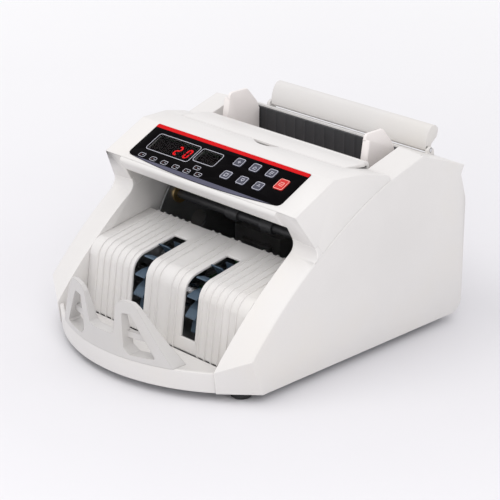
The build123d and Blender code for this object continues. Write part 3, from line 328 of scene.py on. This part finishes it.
# ================================================================ materials
def moulded(name, colour, rough=0.45, grain=0.012, vary=0.035, tint=AGED_TINT, edge=1.05, ridge_highlight=0.0):
    """Moulded plastic: spark texture grain mm deep, flow marks, ageing, worn edges, softly turned corner
    normals and an optional painted ridge highlight.

    vary is how far the tone wanders and tint its hue where it has aged. edge says how much lighter
    the mesh's outward edges are, and the ridge factor how much lighter a painted highlight along the
    lines between its faces is, 0 for no line.
    """
    material, tree, shader, place = new_material(name)
    aged = tuple(channel * hue for channel, hue in zip(shaded(colour, 1.0 + vary * 0.4), tint))
    tone = ramp(tree, noise(tree, place, AGEING, 4.0), [
        (0.30, shaded(colour, 1.0 - vary)),
        (0.52, colour),
        (0.75, aged),
    ])
    speck = spread(tree, noise(tree, place, SPECKS, 2.0), 0.0, 0.10, 0.45, 0.75)
    tone = mixed(tree, speck, tone, shaded(colour, 0.93))
    tone = worn(tree, tone, lifted(colour, edge))
    # Painted highlight along the ridge lines, lighter than the colour by the given ridge factor.
    if ridge_highlight:
        tone = with_painted_ridge_highlight(tree, tone, shaded(colour, ridge_highlight))
    coloured(tree, shader, tone)
    glossed(tree, shader, noise(tree, place, PLASTIC_SHEEN, 4.0), rough - 0.06, rough + 0.07)
    corners = corner_normal(tree, CORNER_RADIUS, samples=6)
    flow = noise(tree, place, FLOW_MARKS, 2.0)
    waves = bumped(tree, shader, flow, depth=0.05 * MM, strength=0.35, under=corners)
    bumped(tree, shader, noise(tree, place, SPARK_TEXTURE, 2.0, 0.6), depth=grain * MM, under=waves)
    return material


def rubber(name, colour, rough=0.75, ribs=0.0):
    """Rubber with a dull bloom and rubbed edges. ribs is the scale of a wave of fine ribs, 0 for none."""
    material, tree, shader, place = new_material(name)
    tone = ramp(tree, noise(tree, place, RUBBER_BLOOM, 5.0, 0.65), [
        (0.32, shaded(colour, 0.75)),
        (0.55, colour),
        (0.78, lifted(colour, 1.25, 0.012)),
    ])
    coloured(tree, shader, worn(tree, tone, lifted(colour, 1.3, 0.02)))
    glossed(tree, shader, noise(tree, place, RUBBER_SHEEN), rough - 0.1, rough + 0.12)
    shader.inputs["Specular IOR Level"].default_value = 0.35
    skin = bumped(tree, shader, noise(tree, place, RUBBER_SKIN, 3.0, 0.7), depth=0.03 * MM, strength=0.8)
    if ribs:
        wave = tree.nodes.new("ShaderNodeTexWave")
        wave.bands_direction = "X"
        wave.inputs["Scale"].default_value = ribs
        tree.links.new(place, wave.inputs["Vector"])
        bumped(tree, shader, wave.outputs["Fac"], depth=0.08 * MM, strength=0.6, under=skin)
    return material


def metal(name, colour, rough=0.32, brush=NEUTRAL, scratch=0.01, tarnish=0.18):
    """Machined or rolled metal: brushed along one axis, tarnished in patches."""
    material, tree, shader, place = new_material(name)
    tone = ramp(tree, noise(tree, place, TARNISH, 5.0, 0.6), [
        (0.28, shaded(colour, 1.0 - tarnish)),
        (0.55, colour),
        (0.80, lifted(colour, 1.06)),
    ])
    coloured(tree, shader, worn(tree, tone, lifted(colour, 1.15)))
    shader.inputs["Metallic"].default_value = 1.0
    lines = noise(tree, place, BRUSH_LINES, 3.0, 0.7, brush)
    glossed(tree, shader, lines, rough - 0.08, rough + 0.14)
    bumped(tree, shader, lines, depth=scratch * MM, strength=0.7)
    return material


def film(name, colour, rough, vary=0.12, level=0.5, grain=0.006):
    """Printed polyester film or ink: fine satin texture and handling marks."""
    material, tree, shader, place = new_material(name)
    tone = ramp(tree, noise(tree, place, INK_DENSITY, 4.0), [
        (0.30, shaded(colour, 1.0 - vary)),
        (0.55, colour),
        (0.80, lifted(colour, 1.0 + vary, 0.002)),
    ])
    coloured(tree, shader, tone)
    smear = noise(tree, place, FILM_SMEARS, 5.0, 0.65, distortion=0.6)
    glossed(tree, shader, smear, rough - 0.07, rough + 0.1)
    shader.inputs["Specular IOR Level"].default_value = level
    bumped(tree, shader, noise(tree, place, FILM_GRAIN, 2.0), depth=grain * MM, strength=0.8)
    return material


def smoked_window():
    """Dark clear acrylic that lets lit digits through."""
    material = film("smoked_acrylic", (0.004, 0.003, 0.0035), rough=0.16, vary=0.3, level=0.06, grain=0.001)
    shader = material.node_tree.nodes["Principled BSDF"]
    shader.inputs["Alpha"].default_value = 0.3
    return material


def lamp(name, colour, glow, strength):
    """A lit or unlit light pipe with a slightly uneven face."""
    material, tree, shader, place = new_material(name)
    coloured(tree, shader, ramp(tree, noise(tree, place, LENS_PATTERN, 2.0), [
        (0.3, shaded(colour, 0.8)),
        (0.7, colour),
    ]))
    shader.inputs["Roughness"].default_value = 0.35
    shader.inputs["Specular IOR Level"].default_value = 0.06
    shine = ramp(tree, noise(tree, place, GLOW_PATTERN, 2.0), [(0.3, shaded(glow, 0.82)), (0.7, glow)])
    tree.links.new(shine, shader.inputs["Emission Color"])
    shader.inputs["Emission Strength"].default_value = strength
    return material


def circuit_board():
    """Green solder mask over copper tracks."""
    material, tree, shader, place = new_material("solder_mask")
    tracks = tree.nodes.new("ShaderNodeTexBrick")
    tracks.inputs["Scale"].default_value = BOARD_TRACKS
    tracks.inputs["Mortar Size"].default_value = 0.09
    tracks.inputs["Color1"].default_value = (0.012, 0.085, 0.032, 1.0)
    tracks.inputs["Color2"].default_value = (0.015, 0.105, 0.040, 1.0)
    tracks.inputs["Mortar"].default_value = (0.050, 0.200, 0.070, 1.0)
    tree.links.new(place, tracks.inputs["Vector"])
    cloud = spread(tree, noise(tree, place, BOARD_CLOUD), 0.0, 0.4)
    coloured(tree, shader, mixed(tree, cloud, tracks.outputs["Color"], (0.010, 0.060, 0.025)))
    glossed(tree, shader, noise(tree, place, BOARD_SHEEN), 0.22, 0.42)
    bumped(tree, shader, tracks.outputs["Fac"], depth=0.04 * MM, strength=0.8)
    return material


def floor_paint():
    """Matt pale paint that gets paler away from the middle."""
    material, tree, shader, place = new_material("pale_floor")
    near = ramp(tree, noise(tree, place, FLOOR_CLOUD, 4.0), FLOOR_NEAR)
    length = tree.nodes.new("ShaderNodeVectorMath")
    length.operation = "LENGTH"
    tree.links.new(place, length.inputs[0])
    away = spread(tree, length.outputs["Value"], 0.0, 1.0, *FLOOR_FADE)
    coloured(tree, shader, mixed(tree, away, near, FLOOR_FAR))
    glossed(tree, shader, noise(tree, place, FLOOR_SHEEN), 0.60, 0.72)
    shader.inputs["Specular IOR Level"].default_value = 0.25
    bumped(tree, shader, noise(tree, place, FLOOR_GRAIN), depth=0.02 * MM, strength=0.4)
    return material


CASING = (0.735, 0.718, 0.702)
ROUND_X = (1.0, 0.15, 0.15)     # ground around a shaft that lies along X
ALONG_Y = (1.0, 0.05, 1.0)      # rolled front to back
ALONG_X = (0.1, 1.0, 1.0)       # drawn from side to side
STACKED = (1.0, 1.0, 6.0)       # fine layers above each other
FINISHES = {
    "casing": moulded("casing_plastic", CASING),
    "guide_plastic": moulded("guide_plastic", (0.835, 0.790, 0.770), rough=0.40, grain=0.008, vary=0.03),
    "dark_plastic": moulded(
        "dark_plastic", (0.030, 0.030, 0.033), rough=0.50, grain=0.02, vary=0.18, tint=NEUTRAL, edge=1.8,
    ),
    "sheet_steel": metal("rolled_sheet_steel", (0.56, 0.57, 0.58), rough=0.38, brush=ALONG_Y),
    "shaft_steel": metal(
        "ground_shaft_steel", (0.62, 0.62, 0.63), rough=0.22, brush=ROUND_X, scratch=0.006, tarnish=0.1,
    ),
    "screw_steel": metal("plated_screw_steel", (0.52, 0.52, 0.53), rough=0.33),
    "motor_can": metal("motor_can_steel", (0.42, 0.43, 0.45), rough=0.40, brush=ALONG_X),
    "core_steel": metal(
        "laminated_core_steel", (0.28, 0.27, 0.27), rough=0.52, brush=STACKED, scratch=0.03, tarnish=0.35,
    ),
    "roller_rubber": rubber("roller_rubber", (0.060, 0.058, 0.058), rough=0.68, ribs=260.0),
    "belt_rubber": rubber("belt_rubber", (0.018, 0.018, 0.019), rough=0.70),
    "foot_rubber": rubber("foot_rubber", (0.024, 0.024, 0.026), rough=0.78),
    "impeller_rubber": rubber("impeller_rubber", (0.045, 0.075, 0.110), rough=0.62),
    "pulley_plastic": moulded(
        "pulley_plastic", (0.045, 0.045, 0.048), rough=0.42, grain=0.01, vary=0.15, tint=NEUTRAL, edge=1.6,
    ),
    "bush_brass": metal("sintered_bush_brass", (0.60, 0.43, 0.20), rough=0.40),
    "overlay_black": film("overlay_black", (0.0025, 0.0020, 0.0025), rough=0.42, vary=0.2, level=0.012),
    "window_smoke": smoked_window(),
    "digit_face": film("digit_face", (0.005, 0.004, 0.0045), rough=0.60, vary=0.2, level=0.03),
    "board_green": circuit_board(),
    "key_grey": film("key_grey", (0.066, 0.067, 0.092), rough=0.42, vary=0.08, level=0.15),
    "key_red": film("key_red", (0.560, 0.028, 0.026), rough=0.40, vary=0.08, level=0.12),
}
# The side covers' plastic, with a painted highlight along its ridge lines.
COVER_PLASTIC = moulded("cover_plastic_painted_ridge_highlight", CASING, rough=0.38, ridge_highlight=1.25)
NODE_FINISHES = {
    "right_side_cover": COVER_PLASTIC,
    "left_side_cover": COVER_PLASTIC,
    # Painted shade: darker copies of the casing colour on parts that get less light.
    "rear_deck": moulded("deck_plastic_painted_shade", shaded(CASING, 0.91)),
    "carry_bar": moulded("bar_plastic_painted_shade", shaded(CASING, 0.93)),
    "finger_fence": moulded("fence_plastic_painted_shade", shaded(CASING, 0.80)),
}
RED_INK = film("red_ink", (0.600, 0.004, 0.006), rough=0.42, vary=0.06, level=0.06)
SLATE_INK = film("slate_ink", (0.088, 0.088, 0.132), rough=0.42, vary=0.08, level=0.15)
PALE_INK = film("pale_ink", (0.50, 0.50, 0.56), rough=0.45, vary=0.08)
KEY_INK = film("key_ink", (0.52, 0.52, 0.59), rough=0.45, vary=0.08)
RED_KEY_INK = film("red_key_ink", (0.86, 0.42, 0.36), rough=0.45, vary=0.06)
LIT_SEGMENT = lamp("lit_segment", (0.50, 0.010, 0.010), (1.0, 0.010, 0.014), 1.5)
DARK_SEGMENT = lamp("dark_segment", (0.012, 0.006, 0.006), DARK, 0.0)
DARK_LAMP = lamp("dark_lamp", (0.060, 0.022, 0.022), DARK, 0.0)


def slot_of(node):
    """The record's material slot of a CAD node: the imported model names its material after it."""
    return NODES[node].data.materials[0].name.split(".")[0]


SLOT_OF = {name: slot_of(name) for name in NODES}
BODY_OF = {name: node["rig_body"] for name, node in NODES.items()}


def finish_of(node):
    """A node's own finish where NODE_FINISHES gives one, a casing copy with painted shade or a painted
    ridge highlight, or else its slot's.
    """
    return NODE_FINISHES.get(node, FINISHES[SLOT_OF[node]])


# ================================================================ mesh helpers
def finished(name, mesh, material, host):
    """A new piece, smooth between its sharp edges, in the body of a CAD node, with the given material."""
    mesh.name = name
    mesh.materials.clear()
    mesh.materials.append(material)
    mesh.shade_smooth()
    mesh.set_sharp_from_angle(angle=math.radians(SMOOTH_ANGLE))
    piece = bpy.data.objects.new(name, mesh)
    bpy.context.scene.collection.objects.link(piece)
    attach(piece, BODY_OF[host])
    return piece


def joined_mesh(node):
    """A CAD node's mesh with its corners joined and its flat faces in one piece each."""
    work = bmesh.new()
    work.from_mesh(NODES[node].data)
    bmesh.ops.remove_doubles(work, verts=work.verts, dist=WELD)
    bmesh.ops.dissolve_limit(
        work, angle_limit=math.radians(FLAT_ANGLE), verts=work.verts, edges=work.edges,
    )
    return work


def refined(node, radius, segments=2):
    """A copy of a CAD node with its sharp edges rounded, standing for that node."""
    work = joined_mesh(node)
    mesh = bpy.data.meshes.new("work")
    work.to_mesh(mesh)
    work.free()
    draft = bpy.data.objects.new("draft", mesh)
    bpy.context.scene.collection.objects.link(draft)
    round_off = draft.modifiers.new("round", "BEVEL")
    round_off.width = radius
    round_off.segments = segments
    round_off.limit_method = "ANGLE"
    round_off.angle_limit = math.radians(SHARP_ANGLE)
    round_off.use_clamp_overlap = False
    round_off.miter_outer = "MITER_ARC"
    level = draft.modifiers.new("level", "WEIGHTED_NORMAL")
    level.keep_sharp = True
    view = bpy.context.evaluated_depsgraph_get()
    rounded = bpy.data.meshes.new_from_object(draft.evaluated_get(view))
    bpy.data.objects.remove(draft)
    piece = finished(node + "_moulding", rounded, finish_of(node), node)
    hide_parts(node)


def closed_piece(name, work, material, host):
    """A finished piece from a closed surface, with all its faces turned outward."""
    bmesh.ops.recalc_face_normals(work, faces=work.faces)
    mesh = bpy.data.meshes.new(name)
    work.to_mesh(mesh)
    work.free()
    finished(name, mesh, material, host)


def round_rectangle(across, up, width, height, corner, steps=5):
    """Outline of a rectangle with round corners, as (across, up) points."""
    points = []
    corners = ((1, 1, 0.0), (-1, 1, 90.0), (-1, -1, 180.0), (1, -1, 270.0))
    for side, top, start in corners:
        middle = (across + side * (width / 2 - corner), up + top * (height / 2 - corner))
        for k in range(steps + 1):
            angle = math.radians(start + 90.0 * k / steps)
            points.append((middle[0] + corner * math.cos(angle), middle[1] + corner * math.sin(angle)))
    return points


def outline_ring(across, up, width, height, corner, line):
    """The outer and the inner outline of a printed line around a rectangle."""
    outer = round_rectangle(across, up, width, height, corner)
    inner_corner = max(corner - line, LEAST_CORNER)
    inner = round_rectangle(across, up, width - 2 * line, height - 2 * line, inner_corner)
    return outer, inner


def bar(start, end, width):
    """A straight stroke between two points."""
    along = Vector((end[0] - start[0], end[1] - start[1])).normalized()
    side = Vector((-along.y, along.x)) * width / 2
    a, b = Vector(start), Vector(end)
    return [tuple(a + side), tuple(a - side), tuple(b - side), tuple(b + side)]


# ================================================================ the control face
class ControlFace:
    """The sloping control face: places on it are (across, up, out) from the sheet's lower edge."""

    def __init__(self):
        sheet = NODES["control_overlay"].data
        widest = max(sheet.polygons, key=lambda face: face.area)
        self.out = widest.normal.copy() if widest.normal.z > 0 else -widest.normal
        self.right = Vector((1.0, 0.0, 0.0))
        self.up = self.out.cross(self.right)
        places = [vertex.co for vertex in sheet.vertices]
        self.top = max(place.dot(self.out) for place in places)
        self.edge = min(place.dot(self.up) for place in places)
        self.reach = max(place.dot(self.up) for place in places) - self.edge

    def at(self, across, up, out):
        """A place on the face as a point of the frame."""
        return self.right * across + self.up * (up + self.edge) + self.out * (out + self.top)

    def place_of(self, point):
        """A point of the frame as a place on the face."""
        return point.x, point.dot(self.up) - self.edge, point.dot(self.out) - self.top

    def box(self, points):
        """The lowest and the highest across, up and out of some points."""
        places = [self.place_of(point) for point in points]
        return [(min(axis), max(axis)) for axis in zip(*places)]

    def node_box(self, node):
        """The box of a whole CAD node on the face."""
        return self.box([vertex.co for vertex in NODES[node].data.vertices])


FACE = ControlFace()


def solid_from(name, outlines, low, high, material, host):
    """Flat shapes on the control face made solid, from low to high above the sheet's top."""
    work = bmesh.new()
    for outline in outlines:
        bottom = [work.verts.new(FACE.at(across, up, low)) for across, up in outline]
        top = [work.verts.new(FACE.at(across, up, high)) for across, up in outline]
        work.faces.new(top)
        work.faces.new(list(reversed(bottom)))
        for i in range(len(outline)):
            j = (i + 1) % len(outline)
            work.faces.new([bottom[i], bottom[j], top[j], top[i]])
    closed_piece(name, work, material, host)


def rings_from(name, rings, low, high, material, host):
    """Printed lines on the control face made solid. Each ring is (outer outline, inner outline)."""
    work = bmesh.new()
    for outer, inner in rings:
        rows = []
        for outline, out in ((outer, low), (outer, high), (inner, high), (inner, low)):
            rows.append([work.verts.new(FACE.at(across, up, out)) for across, up in outline])
        for first, second in zip(rows, rows[1:] + rows[:1]):
            for i in range(len(outer)):
                j = (i + 1) % len(outer)
                work.faces.new([first[i], first[j], second[j], second[i]])
    closed_piece(name, work, material, host)


def loose_boxes(node):
    """The control-face box of each separate solid in a node, from left to right."""
    work = joined_mesh(node)
    left = set(work.verts)
    boxes = []
    while left:
        island, queue = set(), [next(iter(left))]
        while queue:
            vertex = queue.pop()
            if vertex in island:
                continue
            island.add(vertex)
            queue.extend(edge.other_vert(vertex) for edge in vertex.link_edges)
        left -= island
        boxes.append(FACE.box([vertex.co for vertex in island]))
    work.free()
    return sorted(boxes)


def on_top(face):
    """Whether a face of the sheet belongs to its outer surface."""
    out = FACE.place_of(face.calc_center_median())[2]
    return face.normal.dot(FACE.out) >= FACES_OUT and out >= -TOP_DEPTH


def ink_band(name, material, lower_edge, upper_edge):
    """Ink over the part of the sheet between two distances up its face."""
    work = joined_mesh("control_overlay")
    hidden = [face for face in work.faces if not on_top(face)]
    bmesh.ops.delete(work, geom=hidden, context="FACES")
    for limit, side in ((lower_edge, -1.0), (upper_edge, 1.0)):
        bmesh.ops.bisect_plane(
            work,
            geom=work.verts[:] + work.edges[:] + work.faces[:],
            dist=CUT_WELD,
            plane_co=FACE.at(0.0, limit, 0.0),
            plane_no=FACE.up * side,
            clear_outer=True,
        )
    shell = bmesh.ops.extrude_face_region(work, geom=work.faces[:])
    raised = [item for item in shell["geom"] if isinstance(item, bmesh.types.BMVert)]
    lowered = [vertex for vertex in work.verts if vertex not in set(raised)]
    bmesh.ops.translate(work, verts=raised, vec=FACE.out * INK_ABOVE)
    bmesh.ops.translate(work, verts=lowered, vec=-FACE.out * INK_BELOW)
    closed_piece(name, work, material, "control_overlay")


def window_outlines():
    """A printed line around each window."""
    rings = []
    for across, up, _ in loose_boxes("display_windows"):
        width = across[1] - across[0] + 2 * (WINDOW_MARGIN + LINE)
        height = up[1] - up[0] + 2 * (WINDOW_MARGIN + LINE)
        rings.append(outline_ring(sum(across) / 2, sum(up) / 2, width, height, WINDOW_CORNER, LINE))
    return rings


def lamp_marks():
    """Outlined lamp fields under the windows, each with a small lens and a short rule."""
    rings, lenses, rules = [], [], []
    for across, up in LAMP_MARKS:
        across, up = across * MM, up * MM
        rings.append(outline_ring(across, up, *MARK_SIZE, MARK_CORNER, MARK_LINE))
        lenses.append(round_rectangle(across + LENS_PLACE, up, LENS_SIZE, LENS_SIZE, LENS_CORNER))
        rules.append(bar((across + RULE_REACH[0], up), (across + RULE_REACH[1], up), RULE_WIDTH))
    return rings, lenses, rules


def key_symbol(kind, across, up):
    """The strokes of a key's symbol."""
    strokes = []
    for start, end in SYMBOLS[kind]:
        first = (across + start[0] * MM, up + start[1] * MM)
        last = (across + end[0] * MM, up + end[1] * MM)
        strokes.append(bar(first, last, SYMBOL_LINE))
    return strokes


def dress_key(node, kind):
    """A key cap with rounded edges, a printed border and a symbol, all riding on its body."""
    refined(node, KEY_ROUND, segments=3)
    across, up, out = FACE.node_box(node)
    centre = (sum(across) / 2, sum(up) / 2)
    width = across[1] - across[0] - 2 * KEY_MARGIN
    height = up[1] - up[0] - 2 * KEY_MARGIN
    low, high = out[1] - INK_BELOW, out[1] + INK_ABOVE
    ink = RED_KEY_INK if node == "key_reset" else KEY_INK
    ring = outline_ring(*centre, width, height, KEY_CORNER, KEY_LINE)
    rings_from(node + "_border", [ring], low, high, ink, node)
    solid_from(node + "_symbol", key_symbol(kind, *centre), low, high, ink, node)


def control_face():
    """The overlay with its printing, the windows and the keys."""
    sheet = "control_overlay"
    refined(sheet, SHEET_ROUND)
    refined("display_windows", SHEET_ROUND)
    ink_band("overlay_red_stripe", RED_INK, FACE.reach - RED_STRIPE, FACE.reach + PAST_EDGE)
    ink_band("overlay_slate_band", SLATE_INK, -PAST_EDGE, SLATE_EDGE)
    rings, lenses, rules = lamp_marks()
    rings += window_outlines()
    rings_from("overlay_outlines", rings, -INK_BELOW, INK_ABOVE, PALE_INK, sheet)
    solid_from("lamp_lenses", lenses, -INK_BELOW, INK_ABOVE, DARK_LAMP, sheet)
    solid_from("lamp_rules", rules, -INK_BELOW, INK_ABOVE, PALE_INK, sheet)
    for node, kind in KEY_SYMBOLS.items():
        dress_key(node, kind)


# ================================================================ the digits
def segment_shape(letter, across, up):
    """One segment of a seven-segment digit, with pointed ends."""
    half = DIGIT_SIZE[0] / 2 - DIGIT_STROKE / 2
    rise = DIGIT_SIZE[1] / 2 - DIGIT_STROKE / 2
    runs = {
        "a": ((-half, rise), (half, rise)),
        "b": ((half, 0), (half, rise)),
        "c": ((half, -rise), (half, 0)),
        "d": ((-half, -rise), (half, -rise)),
        "e": ((-half, -rise), (-half, 0)),
        "f": ((-half, 0), (-half, rise)),
        "g": ((-half, 0), (half, 0)),
    }
    start, end = (Vector(place) for place in runs[letter])
    along = (end - start).normalized()
    side = Vector((-along.y, along.x)) * DIGIT_STROKE / 2
    near, far = start + along * SEGMENT_GAP, end - along * SEGMENT_GAP
    tip = along * DIGIT_STROKE / 2
    outline = [near, near + tip - side, far - tip - side, far, far - tip + side, near + tip + side]
    return [(across + p.x + p.y * DIGIT_SLANT, up + p.y) for p in outline]


def digit_shapes(centres, up, lit):
    """All the segments of the display that are lit, or all that aren't."""
    shapes = []
    for digit, across in zip(DISPLAY_TEXT, centres):
        for letter in "abcdefg":
            if (letter in SEGMENTS_OF.get(digit, "")) == lit:
                shapes.append(segment_shape(letter, across, up))
    return shapes


def digits():
    """Seven-segment digits on the faces of the digit modules."""
    modules = loose_boxes("digit_modules")
    front = max(out[1] for _, _, out in modules)
    centres = [sum(across) / 2 + DIGIT_SHIFT for across, _, _ in modules]
    middle = sum(modules[0][1]) / 2
    low, high = front - INK_BELOW, front + SEGMENT_LIFT
    lit, dark = (digit_shapes(centres, middle, state) for state in (True, False))
    solid_from("lit_segments", lit, low, high, LIT_SEGMENT, "digit_modules")
    solid_from("dark_segments", dark, low, high, DARK_SEGMENT, "digit_modules")


# ================================================================ casing and mechanism
def casing():
    """The mouldings and fittings with rounded edges."""
    for node, radius in ROUNDED.items():
        refined(node, radius * MM)


def carried_over():
    """Every CAD node that stays gets its finish."""
    for name, node in NODES.items():
        for place in node.material_slots:
            place.material = finish_of(name)


# ================================================================ stage
def floor():
    """The flat floor that the machine stands on."""
    work = bmesh.new()
    bmesh.ops.create_grid(work, x_segments=FLOOR_SQUARES, y_segments=FLOOR_SQUARES, size=FLOOR_REACH)
    mesh = bpy.data.meshes.new("floor")
    work.to_mesh(mesh)
    work.free()
    mesh.materials.append(floor_paint())
    piece = bpy.data.objects.new("floor", mesh)
    bpy.context.scene.collection.objects.link(piece)


def area_light(name, place, size, power, colour):
    """A square lamp that points at the machine."""
    light = bpy.data.lights.new(name, "AREA")
    light.shape = "RECTANGLE"
    light.size = light.size_y = size
    light.energy = power
    light.color = colour
    piece = bpy.data.objects.new(name, light)
    piece.location = place
    piece.rotation_euler = (LIGHT_TARGET - Vector(place)).to_track_quat("-Z", "Y").to_euler()
    bpy.context.scene.collection.objects.link(piece)


def lights():
    """An even pale sky and two soft lamps."""
    world = bpy.data.worlds.new("studio")
    world.use_nodes = True
    background = world.node_tree.nodes["Background"]
    background.inputs["Color"].default_value = (*SKY_COLOUR, 1.0)
    background.inputs["Strength"].default_value = SKY_STRENGTH
    bpy.context.scene.world = world
    area_light("key_light", **KEY_LIGHT)
    area_light("fill_light", **FILL_LIGHT)


def camera():
    """The photograph's view."""
    lens = bpy.data.cameras.new("camera")
    lens.sensor_width = CAMERA_SENSOR
    lens.lens = CAMERA_LENS
    lens.clip_end = CAMERA_SEES
    piece = bpy.data.objects.new("camera", lens)
    flat = math.cos(CAMERA_ELEVATION)
    back = Vector((
        math.sin(CAMERA_AZIMUTH) * flat, -math.cos(CAMERA_AZIMUTH) * flat, math.sin(CAMERA_ELEVATION),
    ))
    piece.location = CAMERA_PLACE
    piece.rotation_euler = (-back).to_track_quat("-Z", "Y").to_euler()
    bpy.context.scene.collection.objects.link(piece)
    bpy.context.scene.camera = piece


camera()
lights()
floor()
carried_over()
casing()
control_face()
digits()
bpy.context.scene.view_settings.view_transform = "Standard"
